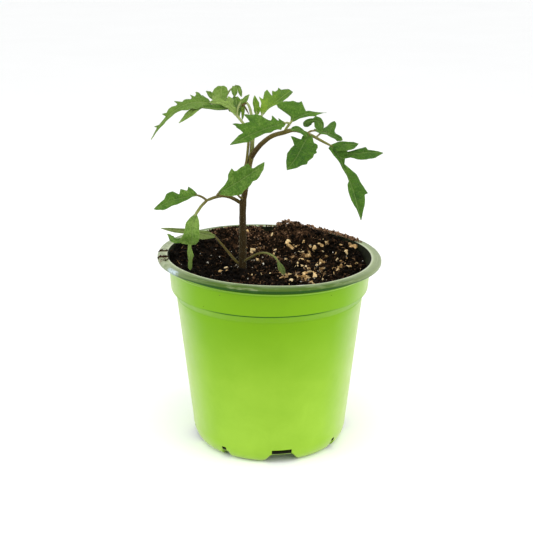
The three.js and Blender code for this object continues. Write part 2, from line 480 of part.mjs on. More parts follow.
const upperRightLeaf = [
  stalk([[-9.5, 4.4, 180.5], [-7.8, 5.5, 184], [-5.8, 5.5, 189], [-4.2, 5, 192.7]], [0.95, 0.7]),
  stalk([[-6.6, 5.5, 187], [-7.8, 4, 190.5], [-7.5, 2.5, 193.6]], [0.6, 0.5]),
  blade([[-4.2, 5, 192.7], [-1, 10, 195.3], [3.2, 16, 197.7], [7.9, 22, 200.5], [12.4, 28, 202.9]],
        [-0.2, -0.75, 0.6],
        [[0, 1], [0.11, 3.7], [0.2, 7], [0.28, 10.4], [0.3, 7.4], [0.36, 9], [0.44, 11], [0.5, 10.8],
         [0.49, 6.8], [0.56, 7.9], [0.61, 5.9], [0.72, 7.7], [0.75, 5.2], [0.85, 3.6], [0.95, 3]],
        [[0, 1], [0.18, 1], [0.32, 1.8], [0.38, 4.4], [0.52, 5.4], [0.59, 3.2], [0.65, 3.8],
         [0.79, 2.9], [0.93, 1.6]], [80, 45]),
  blade([[-7.5, 2.5, 193.6], [-8.1, 2.5, 197.2], [-8.2, 3, 200.4], [-8.1, 3.5, 203.3]], [0.1, -0.9, 0.3],
        [[0, 0.8], [0.22, 1.5], [0.54, 1.6], [0.81, 1]],
        [[0, 0.8], [0.14, 2.1], [0.42, 2.9], [0.74, 1.6]], [70, 40]),
];

const leftCotyledon = [
  stalk([[-16.5, 4, 104.5], [-19.5, 5, 106.6], [-26.8, 12, 113.4], [-32.5, 18, 117.5]], [0.85, 0.6]),
  blade([[-32.5, 18, 117.5], [-37.9, 17, 119.1], [-45.2, 15, 121], [-54.1, 12.5, 122.7],
         [-63.8, 10, 124.8]], [0.1, -0.8, 0.6],
        [[0, 0.9], [0.11, 2.9], [0.21, 4.3], [0.41, 2.8], [0.57, 1.8], [0.72, 1.9], [0.87, 1.3]],
        [[0, 0.9], [0.13, 2.2], [0.24, 2], [0.42, 2.1], [0.57, 1.8], [0.77, 1.4], [0.9, 0.8]], [80, 60]),
];

const rightCotyledon = [
  stalk([[-16.5, 4, 105.5], [-13.8, 2, 107.8], [-6.7, -2, 112.7], [-2, -5, 114.1], [2.6, -7, 112.6],
         [4.8, -8, 110.3]], [0.75, 0.55]),
  blade([[4.8, -8, 110.3], [6, -8.5, 108.2], [7.1, -9, 105.6], [8.5, -9, 102.4]], [-0.3, -0.9, 0.3],
        [[0, 0.7], [0.15, 0.8], [0.35, 1.8], [0.55, 2.2], [0.8, 1.6]],
        [[0, 0.7], [0.2, 1.6], [0.45, 2.2], [0.6, 1.8], [0.85, 1.2]], [80, 50]),
];

const STEM_PATH = [
  [-16.4, 4, 72], [-16, 4, 100], [-15.7, 4, 113], [-15.6, 4, 130], [-15.4, 4, 141], [-14.3, 4, 148],
  [-12.5, 4, 158], [-10.8, 4, 167], [-10, 4, 174], [-9.8, 4, 184], [-10.3, 4.3, 192.5],
  [-11.6, 5, 197.5], [-13.2, 5.6, 199.4],
];

const growingTip = [
  stalk([[-13.2, 5.6, 199.4], [-14.6, 6, 198.8], [-15.4, 6, 197.2]], [1.1, 1.2]),
  stalk([[-14.8, 6, 198], [-13.4, 6.4, 195.8], [-12.4, 7, 193.8]], [0.5, 0.4]),
  blade([[-15.3, 5.9, 198.2], [-15, 5, 194.8], [-15.4, 4.9, 189.9]], [0.2, -0.95, 0],
        [[0, 0.8], [0.3, 1.2], [0.6, 0.9], [0.85, 0.6]],
        [[0, 0.8], [0.25, 1.3], [0.5, 1.1], [0.85, 0.6]], [80, 60]),
  blade([[-14.4, 6.2, 198.8], [-13, 7.2, 200.8], [-11.9, 8, 202.4]], [0.1, -0.8, 0.6],
        [[0, 0.7], [0.4, 1.2], [0.8, 0.7]],
        [[0, 0.7], [0.4, 1], [0.8, 0.6]], [75, 50]),
  blade([[-15.2, 6.2, 198.4], [-17, 7, 200], [-18.3, 7.5, 202.4]], [0, -0.8, 0.6],
        [[0, 0.7], [0.4, 1.2], [0.8, 0.7]],
        [[0, 0.7], [0.4, 1.2], [0.8, 0.7]], [75, 50]),
];

const sideShoot = [
  stalk([[-15.2, 3.6, 144.4], [-16.8, 1.2, 145.6], [-18.6, -0.4, 148]], [0.75, 0.5]),
];

const STEM_RADII = [1.5, 1.9, 2.1, 2.1, 2.1, 2, 1.85, 1.75, 1.6, 1.35, 1.2, 0.9, 0.6];

const LEAVES = [
  ['leaf_lower_left', lowerLeftLeaf, FINISH.leaf],
  ['leaf_right', rightLeaf, FINISH.leaf],
  ['leaf_upper_left', upperLeftLeaf, FINISH.youngLeaf],
  ['leaf_upper_right', upperRightLeaf, FINISH.youngLeaf],
  ['growing_tip', growingTip, FINISH.youngLeaf],
  ['side_shoot', sideShoot, FINISH.stem],
  ['cotyledon_left', leftCotyledon, FINISH.youngLeaf],
  ['cotyledon_right', rightCotyledon, FINISH.youngLeaf],
];

const stem = bentRod(STEM_PATH, STEM_RADII, 10, 6);
const stemSpace = bentRod(longer(STEM_PATH, GAP), STEM_RADII.map((radius) => radius + GAP), 10, 6);

const plant = new THREE.Group();
plant.add(toMesh('pot', makePot(), FINISH.pot));
plant.add(toMesh('potting_soil', makeSoil(stemSpace), FINISH.soil));
plant.add(toMesh('main_stem', stem, FINISH.stem));
for (const [name, pieces, finish] of LEAVES) {
  plant.add(toMesh(name, joined(pieces).subtract(stemSpace), finish));
}

export default plant;
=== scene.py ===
import bpy
import numpy as np
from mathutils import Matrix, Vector


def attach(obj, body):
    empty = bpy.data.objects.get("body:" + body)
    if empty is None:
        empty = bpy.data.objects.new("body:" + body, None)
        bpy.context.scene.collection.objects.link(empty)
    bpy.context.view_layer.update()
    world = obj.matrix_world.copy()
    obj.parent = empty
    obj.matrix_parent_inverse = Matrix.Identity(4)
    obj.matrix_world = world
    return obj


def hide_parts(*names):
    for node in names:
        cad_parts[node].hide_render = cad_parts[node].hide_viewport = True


# Young tomato plant in a 13 cm nursery pot. Shapes are worked out in millimetres, with the origin at the
# centre of the pot's base and the front of the pot towards -Y, and become metres in make_piece.
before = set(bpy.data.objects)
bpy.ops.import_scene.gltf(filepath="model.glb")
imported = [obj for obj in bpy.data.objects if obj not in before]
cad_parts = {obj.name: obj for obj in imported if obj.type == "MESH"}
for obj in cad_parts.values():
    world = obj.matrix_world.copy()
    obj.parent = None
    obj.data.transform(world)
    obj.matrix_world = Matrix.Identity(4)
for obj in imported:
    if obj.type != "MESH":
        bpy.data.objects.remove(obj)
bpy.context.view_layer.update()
MM = 0.001

# The pot
POT_HEIGHT = 113
RIM_RADIUS = 65
WALL = 1
FLOOR = 1.2
FOOT = {"radius": 40.7, "corner": (5.6, 11)}
BODY_TOP = (54.4, 89.5)
COLLAR = ((57.7, 94), (58.6, 109))
LIP = {"inside": 63.8, "bottom": 110.4, "ceiling": 111.7}
RIM_TOP = ((RIM_RADIUS, 111.8), (64.2, 112.8), (62.7, POT_HEIGHT), (60, 112.9), (58.9, 112.6))
RIM_SKEW = 0.0235  # the rim drops by this much per millimetre towards +X
# Drainage channels and grooves across the base: bearings in degrees, 0 at the front and 90 at the right,
# half widths at the bottom and top, height, the slot through the wall above (half width and height), start
CHANNEL = {"bearings": (9, 99, 189, 279), "half": (10.5, 6), "height": 6, "slot": (5.8, 1.6), "start": 0}
GROOVE = {"bearings": (55, 145, 235, 325), "half": (2.6, 2), "height": 4.6, "slot": (1.5, 1), "start": 24}
POT_SIDES = 300
CREASE = {"depth": 0.15, "half_width": 0.4}  # moulded line where the collar starts
STACKING_RING = {"height": 106.9, "proud": 0.35, "half_width": 0.5}
# Streaks of soil across the left of the rim: degrees from +X, width and length in mm, grains
RIM_STREAKS = ((180.3, 1.2, 5.2, 60), (191.3, 1.5, 6, 120), (197, 2.4, 4.5, 14), (121, 3, 2, 20))
# Painted highlights (glints) and soil stains on the rim: centre in mm, and reach
RIM_GLINTS = (((16.3, -57.4, 112.3), 3.4), ((-53.3, -36.8, 112.8), 7.5))
RIM_STAINS = (((-62, 0.2, 114.5), 4.5), ((-61, -12, 114.3), 5.5), ((-61, -19, 114.2), 3.4))

# The soil
SOIL_LEVEL = 100.3
BANK = {"rise": 10, "bearing": 1.83, "lift": 0.55, "fall": 0.9, "start": 34, "width": 20}
HEAP = {"rise": 4.5, "bearing": 1.3, "spread": 0.42, "start": 46, "width": 9}
BARE = {"rise": -7, "x": -1, "spread": 5, "start": 50, "width": 5}
MOUND = {"rise": 1.2, "x": -16, "y": 4, "spread": 14}
# Low waves over the soil: rise, then radians per millimetre along X and Y, and shift in radians
WAVES = ((0.35, 0.31, 0.27, 1), (0.35, 0.31, -0.27, 1), (0.4, 0.63, -0.5, 0))
SOIL_CLEARANCE = 0.1
SOIL_RADIUS = 57  # where the soil's top meets the wall, near enough to ask for its height
STEM_CLEAR = 3.2  # grains keep this far from the middle of the stem
# Mineral chips and white grains that lie where the photograph shows the largest: x, y and size
CHIPS = (
    (13, 40, 4.6), (21, 32, 3.6), (12, 44, 4.4), (35, 33, 3), (32, 33, 2.6), (28, 32, 3.2), (24, 28, 4.6),
    (23, 21, 3.8), (31, 17, 4), (31, 6, 3.8), (19, 14, 3.8), (21, 11, 2.6), (23, -3, 4.2), (26, -9, 4.4),
    (19, -8, 4.2), (11, -7, 3.8), (13, -16, 3), (46, 17, 3.8), (42, 5, 4), (46, 2, 3.2), (51, 22, 4.6),
    (49, 25, 3.6), (-4, 40, 3), (-11, 38, 3.2), (-6, 40, 2.8), (3, 39, 2.6), (16, 12, 2.6), (35, 23, 3),
    (17, -3, 3.4), (9, -12, 3), (21, -12, 3), (-26, 6, 2.8),
)
WHITE_GRAINS = ((-37, 13, 2.2), (-4, 14, 2), (-54, 15, 1.7), (-23, 5, 1.7), (-28, -4, 1.5), (-20, 12, 1.6))
# Patches where more of the chips lie: x, y, spread and count
CHIP_PATCHES = ((22, -2, 9, 70), (28, 26, 11, 46), (-2, 37, 13, 34), (44, 12, 8, 26), (10, 8, 30, 40))

# The plant
TIP_HALF_WIDTH = 0.25
STALK_SUNK = 1.5
LAMINA = 0.28  # thickness of a leaf between its veins
VEIN_SPACING = 4.2
ROW_SPACING, COLUMN_SPACING = 0.32, 0.45  # between the points of a leaf, along and across
EDGE_BLUR = 0.12
CUP = np.radians(12)  # how far a leaf's halves rise from flat
# Swellings of the stem where leaves join it: height, and share of its radius
STEM_JOINTS = ((141, 0.16), (155, 0.1), (168, 0.2), (180.5, 0.16))
STEM_RADII = (1.5, 2, 2.25, 2.25, 2.2, 2.05, 1.9, 1.75, 1.6, 1.35, 1.2, 0.9, 0.6)
STEM_GREEN = (0.02, 0.02, 0.04, 0.05, 0.06, 0.1, 0.14, 0.25, 0.45, 0.75, 1, 1)


def unit(vectors):
    """Vectors divided by their own length."""
    return vectors / np.maximum(np.linalg.norm(vectors, axis=-1, keepdims=True), 1e-12)


def ease(t):
    """3 t^2 - 2 t^3, held at 0 and 1 outside them."""
    t = np.clip(t, 0, 1)
    return t * t * (3 - 2 * t)


def bell(value, width):
    """exp(-(value / width)^2)."""
    return np.exp(-((value / width) ** 2))


def lattice_noise(points, seed):
    """Smooth noise from -1 to 1: a random value at each whole-number point, eased in between."""
    points = np.asarray(points, float)
    low = np.floor(points).astype(np.int64)
    part = ease(points - low)
    total = 0
    for corner in np.ndindex(2, 2, 2):
        x, y, z = np.moveaxis(low + np.array(corner), -1, 0)
        mixed = (x * 73856093 ^ y * 19349663 ^ z * 83492791 ^ seed * 2654435761) & 0xFFFFFFFF
        for shift, factor in ((15, 2246822519), (13, 3266489917)):
            mixed = ((mixed ^ mixed >> shift) * factor) & 0xFFFFFFFF
        value = (mixed ^ mixed >> 16) / 2**31 - 1
        total = total + value * np.prod(np.where(corner, part, 1 - part), axis=-1)
    return total


def layered_noise(points, size, layers, seed):
    """Sum of noises, each of half the size and half the height of the one before."""
    return sum(lattice_noise(points / size * 2**layer, seed + layer) / 2**layer for layer in range(layers))


def along(path, shares):
    """Points and headings at shares of a curve's length, and that length.

    The curve is a Catmull-Rom spline through the path's points: between b and c, at t from 0 to 1, it is
    b + t/2 (c - a + t (2a - 5b + 4c - d + t (3b - a - 3c + d))).
    """
    knots = np.asarray(path, float)
    knots = np.vstack([2 * knots[0] - knots[1], knots, 2 * knots[-1] - knots[-2]])
    spans = len(knots) - 3
    way = np.linspace(0, spans, 60 * spans + 1)
    first = np.minimum(way.astype(int), spans - 1)
    t = (way - first)[:, None]
    a, b, c, d = (knots[first + step] for step in range(4))
    line = b + t / 2 * (c - a + t * (2 * a - 5 * b + 4 * c - d + t * (3 * b - a - 3 * c + d)))
    run = np.append(0, np.cumsum(np.linalg.norm(np.diff(line, axis=0), axis=1)))
    shares = np.asarray(shares, float)

    def at(share):
        """Points at shares of the run."""
        return np.stack([np.interp(share * run[-1], run, line[:, axis]) for axis in range(3)], -1)

    nudge = 0.01
    heading = at(np.minimum(shares + nudge, 1)) - at(np.maximum(shares - nudge, 0))
    return at(shares), unit(heading), run[-1]


def grid_cells(rows, columns, wrap=False):
    """The four corners of each cell of a grid of points that is stored row by row."""
    index = np.arange(rows * columns).reshape(rows, columns)
    if wrap:
        index = np.hstack([index, index[:, :1]])
    cells = np.stack([index[:-1, :-1], index[:-1, 1:], index[1:, 1:], index[1:, :-1]], -1)
    return cells.reshape(-1, 4)


def closed(rows):
    """Points, cells and fans of rows of points round an axis, with each end closed by a point in its middle."""
    count, sides = rows.shape[:2]
    here = np.arange(sides)
    beyond = (here + 1) % sides
    first, last = np.full(sides, count * sides), (count - 1) * sides
    fans = [np.stack([first, beyond, here], -1), np.stack([first + 1, last + here, last + beyond], -1)]
    points = np.vstack([rows.reshape(-1, 3), rows[[0, -1]].mean(axis=1)])
    return points, grid_cells(count, sides, wrap=True), fans


def surface_of(points, faces, **values):
    """A surface: its points, a list of face arrays, and named values for each point."""
    return {"points": points, "faces": faces, "values": values}


def joined(parts):
    """Several surfaces as one."""
    starts = np.cumsum([0] + [len(part["points"]) for part in parts])
    faces = [cells + start for part, start in zip(parts, starts) for cells in part["faces"]]
    values = {name: np.concatenate([part["values"][name] for part in parts]) for name in parts[0]["values"]}
    return surface_of(np.concatenate([part["points"] for part in parts]), faces, **values)


def make_piece(name, surface, material, stands_for=(), crease=50):
    """A finished object from a surface in millimetres: it rides on the root body and may replace CAD nodes."""
    mesh = bpy.data.meshes.new(name)
    faces = [face for cells in surface["faces"] for face in cells.tolist()]
    mesh.from_pydata(surface["points"] * MM, [], faces)
    for label, values in surface["values"].items():
        kind, field = ("FLOAT_VECTOR", "vector") if values.ndim == 2 else ("FLOAT", "value")
        attribute = mesh.attributes.new(label, kind, "POINT")
        attribute.data.foreach_set(field, values.astype(np.float32).ravel())
    mesh.shade_smooth()
    mesh.set_sharp_from_angle(angle=np.radians(crease))
    mesh.materials.append(material)
    piece = bpy.data.objects.new(name, mesh)
    bpy.context.scene.collection.objects.link(piece)
    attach(piece, "root")
    if stands_for:
        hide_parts(*stands_for)
    return piece


def base_height(x, y, grown=0):
    """How far the pot's base is raised at a point by the channels and grooves, grown by a thickness.

    Each is a trapezium across its bearing: full height within the narrow half width, then straight down to
    the ground at the wide one, both edges rounded a little by a share of ease().
    """
    raised = np.zeros_like(x)
    for kind in (CHANNEL, GROOVE):
        low, high = (half + grown for half in kind["half"])
        for bearing in np.radians(kind["bearings"]):
            offset = np.abs(x * np.cos(bearing) + y * np.sin(bearing))
            outward = x * np.sin(bearing) - y * np.cos(bearing)
            begun = 1 if kind["start"] == 0 else ease((outward - kind["start"] + grown) / 2)
            slope = np.clip((low - offset) / (low - high), 0, 1)
            height = (kind["height"] + grown) * (0.75 * slope + 0.25 * ease(slope)) * begun
            raised = np.maximum(raised, np.where(outward > 0, height, 0))
    return raised


def turned_rows(profile, angles):
    """A profile of radius r and height z turned to each angle a: (r cos a, r sin a, z), row by row."""
    r, z = np.array(profile, float).T[..., None]
    return np.stack(np.broadcast_arrays(r * np.cos(angles), r * np.sin(angles), z), -1)


def straight(start, end, spacing, ends=False):
    """Points from one profile point towards another, evenly spaced, without the last unless asked."""
    start, end = np.array(start, float), np.array(end, float)
    count = max(1, round(np.linalg.norm(end - start) / spacing))
    return [tuple(start + (end - start) * i / count) for i in range(count + bool(ends))]


def rounded(corners, cut, spacing):
    """A profile through corners, each cut back by a length and rounded by a quadratic curve."""
    corners = [np.array(corner, float) for corner in corners]
    line = [tuple(corners[0])]
    for before, corner, after in zip(corners, corners[1:], corners[2:]):
        start, end = (corner + min(cut, np.linalg.norm(other - corner) * 0.45) * unit(other - corner)
                      for other in (before, after))
        line += straight(line[-1], start, spacing)[1:]
        line += [tuple((1 - t) ** 2 * start + 2 * t * (1 - t) * corner + t**2 * end)
                 for t in (0, 0.25, 0.5, 0.75, 1)]
    return line + straight(line[-1], corners[-1], spacing, True)[1:]


def foot_corner(radius, across, bottom, up):
    """The pot's rounded foot, a quarter ellipse, with rows where the drain openings start and end."""
    edges = set()
    for kind in (CHANNEL, GROOVE):
        roof = kind["height"] + FLOOR
        edges |= {kind["height"], roof, roof + kind["slot"][1]}
    turn = np.radians(np.linspace(0, 90, 15))
    heights = sorted({*(bottom + up * (1 - np.cos(turn))).round(3), *edges})
    low, high = min(edges) - 0.3, max(edges) + 0.3
    kept = [z for z in heights if z in edges or not low < z < high]
    return [(radius + across * np.sqrt(max(0, 1 - ((up + bottom - z) / up) ** 2)), z) for z in kept]


def pot_profile():
    """Outside of the pot from the middle of its base to the rim, and the inside back down to its floor.

    Returns it with masks along it: olive from the lip inwards, and inside.
    """
    across, up = FOOT["corner"]
    bare_outside = foot_corner(FOOT["radius"], across, 0, up)
    base = straight((0.5, 0), (14, 0), 1.5) + straight((14, 0), bare_outside[0], 0.75)
    body_end = (BODY_TOP[0], BODY_TOP[1] - 3)
    wall = straight(bare_outside[-1], body_end, 2.2, True)[1:]
    (foot_r, foot_z), (top_r, top_z) = COLLAR
    ring, half, lip = STACKING_RING, CREASE["half_width"], LIP
    ring_radius = foot_r + (top_r - foot_r) / (top_z - foot_z) * (ring["height"] - foot_z)
    step = rounded([body_end, BODY_TOP, (foot_r - half * 0.8, foot_z - half),
                    (foot_r - CREASE["depth"], foot_z), (foot_r, foot_z + half),
                    (ring_radius, ring["height"] - ring["half_width"]),
                    (ring_radius + ring["proud"], ring["height"]),
                    (ring_radius, ring["height"] + ring["half_width"]),
                    (top_r + 0.1, lip["ceiling"]), (lip["inside"] - 0.1, lip["ceiling"]),
                    (lip["inside"], lip["bottom"]), (RIM_RADIUS, lip["bottom"]),
                    (RIM_RADIUS, lip["bottom"] + 1.2)], 0.56, 1.1)
    rim = along([(r, 0, z) for r, z in RIM_TOP], np.linspace(0, 1, 16))[0][:, ::2]
    rim = [tuple(point) for point in rim]
    inner_wall = [(r - WALL, z) for r, z in (COLLAR[1], COLLAR[0], BODY_TOP)]
    inner_corner = foot_corner(FOOT["radius"] - WALL / 2, across - WALL / 2, FLOOR, up - FLOOR)[::-1]
    inside = rounded([rim[-1], *inner_wall, inner_corner[0]], 1.4, 3)
    floor = straight(inner_corner[-1], (0.5, FLOOR), 1.6, True)[1:]
    outside = base + bare_outside + wall + step[1:]
    profile = np.array(outside + rim + inside[1:] + inner_corner[1:] + floor)
    row = np.arange(len(profile))
    olive = row >= np.argmax(profile[:, 0] > lip["inside"] - 0.05)
    return profile, {"olive": olive.astype(float), "inside": (row >= len(outside) + len(rim) - 1).astype(float)}


def slot_columns(kind):
    """First and last column angle of each drain opening of a kind."""
    half = np.arcsin(kind["slot"][0] / (FOOT["radius"] + FOOT["corner"][0]))
    return [(np.radians(bearing - 90) - half, np.radians(bearing - 90) + half) for bearing in kind["bearings"]]


def make_pot(material):
    """The pot: its profile turned about Z, the base raised by base_height(), and the drain openings cut out.

    The wall waves by sines of 3 and 7 times its angle near the rim. Each opening is a block of cells left out
    of the outside and the inside, with faces between the two round its four sides.
    """
    profile, masks = pot_profile()
    radii, heights = profile.T
    edges = np.array([edge for kind in (CHANNEL, GROOVE) for pair in slot_columns(kind) for edge in pair])
    edges = edges % (2 * np.pi)
    regular = np.arange(POT_SIDES) * 2 * np.pi / POT_SIDES
    clear = np.abs(regular[:, None] - edges).min(axis=1) > 0.4 * 2 * np.pi / POT_SIDES
    angles = np.sort(np.concatenate([regular[clear], edges]))
    count = len(angles)
    x, y, z = np.moveaxis(turned_rows(profile, angles), -1, 0)
    turn = int(np.argmax(heights))
    inner = (np.arange(len(profile)) > turn)[:, None]
    raised = np.where(inner, base_height(x, y, FLOOR), base_height(x, y))
    wobble = 0.12 * np.sin(3 * angles + 1) + 0.06 * np.sin(7 * angles) - 0.18
    tall = np.maximum(z, raised) + wobble * ease((heights[:, None] - 100) / 10)
    collar = np.clip((tall - COLLAR[0][1]) / (POT_HEIGHT - COLLAR[0][1]), 0, 1)
    points, cells, fans = closed(np.stack([x, y, tall - RIM_SKEW * collar * x], -1))

    open_cell = np.zeros((len(profile) - 1, count), bool)
    bridges = []
    for kind in (CHANNEL, GROOVE):
        roof = kind["height"] + FLOOR
        top = roof + kind["slot"][1]
        outer_rows, inner_rows = (
            [i for i in side if bottom - 1e-6 <= heights[i] <= top + 1e-6 and 30 < radii[i] < 50]
            for side, bottom in ((range(turn), kind["height"]), (range(turn, len(profile)), roof)))
        for pair in slot_columns(kind):
            first, last = (int(np.argmin(np.abs((angles - edge + np.pi) % (2 * np.pi) - np.pi)))
                           for edge in pair)
            columns = np.arange(first, last if last > first else last + count)
            for side in (outer_rows, inner_rows):
                open_cell[np.ix_(side[:-1], columns % count)] = True
            here, beyond = columns % count, (columns + 1) % count
            for a, b, outer, inside in ((here, beyond, outer_rows[0], inner_rows[-1]),
                                        (beyond, here, outer_rows[-1], inner_rows[0])):
                outer, inside = outer * count, inside * count
                bridges.append(np.stack([outer + a, outer + b, inside + b, inside + a], -1))
            side = np.array(outer_rows + inner_rows) * count
            bridges += [(side[::-1] + here[0])[None], (side + beyond[-1])[None]]
    values = {name: np.append(np.repeat(mask, count), mask[[0, -1]]) for name, mask in masks.items()}
    # How far the outside is raised into a channel; the material paints this darker, as painted shade
    recess = np.clip((raised - z) / 2, 0, 1) * ~inner
    surface = surface_of(points, [cells[~open_cell.ravel()], *bridges, *fans], **values,
                         recess=np.append(recess.ravel(), [0, 0]))
    make_piece("pot_shell", surface, material, ["pot"], crease=38)


def soil_height(x, y):
    """Height of the soil at a point: its level, plus a bank and a heap that ease in outwards, a bare patch,
    a mound and low waves of sines.
    """
    r = np.hypot(x, y)
    bearing = np.arctan2(y, x)
    facing = ease((np.cos(bearing - BANK["bearing"]) + BANK["lift"]) / BANK["fall"])
    bank = BANK["rise"] * facing * ease((r - BANK["start"]) / BANK["width"])
    heap = HEAP["rise"] * bell(bearing - HEAP["bearing"], HEAP["spread"])
    heap = heap * ease((r - HEAP["start"]) / HEAP["width"])
    bare = BARE["rise"] * bell(x - BARE["x"], BARE["spread"]) * ease((y - BARE["start"]) / BARE["width"])
    mound = MOUND["rise"] * bell(np.hypot(x - MOUND["x"], y - MOUND["y"]), MOUND["spread"])
    waves = sum(rise * np.sin(along_x * x + along_y * y + shift) for rise, along_x, along_y, shift in WAVES)
    return SOIL_LEVEL + bank + heap + bare + mound + waves


def soil_edge(z):
    """Radius of the pot's inside at a height in the collar, less the soil's clearance."""
    (low_r, low_z), (high_r, high_z) = COLLAR
    return low_r - WALL - SOIL_CLEARANCE + (high_r - low_r) * (z - low_z) / (high_z - low_z)


def behind(points):
    """How far points lie towards the back left, where the soil is drier, and how far towards the left, where
    the soil gets painted shade.
    """
    x, y = points[:, 0], points[:, 1]
    return ease((y - 10) / 40) * ease((30 - x) / 45), ease((-x - 5) / 30)


def make_soil_bed(material):
    """The soil: underside and side follow the pot's inside, the top is soil_height() with rough noise.

    Its tone is noise, raised on the heap and towards the back left, and lowered towards the left as painted
    shade.
    """
    sides, rings = 300, 130
    angles = np.arange(sides) * 2 * np.pi / sides
    across, up = FOOT["corner"]
    clear = FLOOR + SOIL_CLEARANCE
    corner = foot_corner(FOOT["radius"] - WALL / 2 - SOIL_CLEARANCE, across - WALL / 2, clear, up - FLOOR)
    wall = [(r - WALL - SOIL_CLEARANCE, z) for r, z in (BODY_TOP, COLLAR[0])]
    under = straight((1, clear), corner[0], 2) + corner + straight(corner[-1], wall[0], 6, True)[1:] + [wall[1]]
    lower = turned_rows(under, angles)
    lower[..., 2] = np.maximum(lower[..., 2], base_height(lower[..., 0], lower[..., 1], clear))

    edge = soil_edge(soil_height(SOIL_RADIUS * np.cos(angles), SOIL_RADIUS * np.sin(angles)))
    share = np.linspace(1, 0.008, rings)[:, None]
    x, y = share * edge * np.cos(angles), share * edge * np.sin(angles)
    flat = np.stack([x, y, np.zeros_like(x)], -1)
    rough = 0.8 * layered_noise(flat, 5, 4, 11) + 0.25 * layered_noise(flat, 1.1, 2, 31)
    flat[..., 2] = soil_height(x, y) + rough * ease((58 - np.hypot(x, y)) / 3) - 0.2
    points, cells, fans = closed(np.vstack([lower, flat]))
    heap = ease((points[:, 2] - 107) / 5) * bell(np.arctan2(points[:, 1], points[:, 0]) - 1.4, 0.4)
    back, left = behind(points)
    # the tone lowered towards the left is painted shade
    tone = 0.33 + 0.28 * layered_noise(points, 4, 3, 51) + 0.3 * heap + 0.2 * back - 0.12 * left
    surface = surface_of(points, [cells, *fans], tone=tone)
    make_piece("soil_bed", surface, material, ["potting_soil"], crease=180)


def round_lump(levels):
    """A ball of triangles: an icosahedron, each triangle split in four as often as asked."""
    golden = (1 + np.sqrt(5)) / 2
    half = np.array([(-1, golden, 0), (1, golden, 0), (-1, -golden, 0), (1, -golden, 0)], float)
    points = unit(np.vstack([half, half[:, [2, 0, 1]], half[:, [1, 2, 0]]]))
    faces = np.array([
        (0, 11, 5), (0, 5, 1), (0, 1, 7), (0, 7, 10), (0, 10, 11), (1, 5, 9), (5, 11, 4), (11, 10, 2),
        (10, 7, 6), (7, 1, 8), (3, 9, 4), (3, 4, 2), (3, 2, 6), (3, 6, 8), (3, 8, 9), (4, 9, 5),
        (2, 4, 11), (6, 2, 10), (8, 6, 7), (9, 8, 1),
    ])
    for _ in range(levels):
        middles = unit(points[faces] + points[np.roll(faces, -1, axis=1)])
        keys, inverse = np.unique(middles.reshape(-1, 3).round(6), axis=0, return_inverse=True)
        ab, bc, ca = (inverse.reshape(-1, 3) + len(points)).T
        a, b, c = faces.T
        points = np.vstack([points, keys])
        quarters = ((a, ab, ca), (b, bc, ab), (c, ca, bc), (ab, bc, ca))
        faces = np.concatenate([np.stack(new, -1) for new in quarters])
    return points, faces


def turns(random, count):
    """Random rotation matrices, from random quaternions."""
    w, x, y, z = unit(random.normal(size=(count, 4))).T
    return np.stack([
        1 - 2 * (y * y + z * z), 2 * (x * y - z * w), 2 * (x * z + y * w),
        2 * (x * y + z * w), 1 - 2 * (x * x + z * z), 2 * (y * z - x * w),
        2 * (x * z - y * w), 2 * (y * z + x * w), 1 - 2 * (x * x + y * y),
    ], -1).reshape(count, 3, 3)


def repeated(points, faces, **values):
    """Many copies of one shape as a surface: points by copy, the faces of one, and named values by copy."""
    count, each = points.shape[:2]
    faces = faces + (np.arange(count) * each)[:, None, None]
    values = {name: np.repeat(value, each) for name, value in values.items()}
    return surface_of(points.reshape(-1, 3), [faces.reshape(-1, faces.shape[-1])], **values)


def lumps(random, places, sizes, shape=(0.65, 0.6, 0.5), levels=0, uneven=0.25, cuts=0, rise=0.3):
    """Uneven lumps: a ball stretched along three axes, each point moved in or out, then turned at random.

    The ball is first cut flat by planes at random: what lies beyond one is pressed onto it, p - max(0, p.n -
    d) n. The lump's centre stands above its place by a share of its size.
    """
    ball, triangles = round_lump(levels)
    count = len(places)
    body = np.repeat(ball[None], count, axis=0)
    for _ in range(cuts):
        way = unit(random.normal(size=(count, 1, 3)))
        beyond = (body * way).sum(-1, keepdims=True) - random.uniform(0.3, 0.75, (count, 1, 1))
        body = body - np.maximum(0, beyond) * way
    out = 1 + uneven * random.uniform(-1, 1, (count, len(ball), 1))
    scale = np.array(shape) * random.uniform(0.7, 1.3, (count, 3)) * sizes[:, None]
    body = np.einsum("nij,nkj->nki", turns(random, count), body * out * scale[:, None, :] / 1.3)
    centre = places + np.array([0, 0, 1]) * (rise * sizes)[:, None]
    return repeated(centre[:, None, :] + body, triangles, tone=random.uniform(0, 1, count))


def toned(surface, low, high, towards_back=0):
    """The surface with its tone squeezed between two values, raised towards the back, lowered at the left as
    painted shade.
    """
    back, left = behind(surface["points"])
    tone = low + (high - low) * surface["values"]["tone"] + towards_back * (1.4 * back - left)
    return surface_of(surface["points"], surface["faces"], tone=tone)


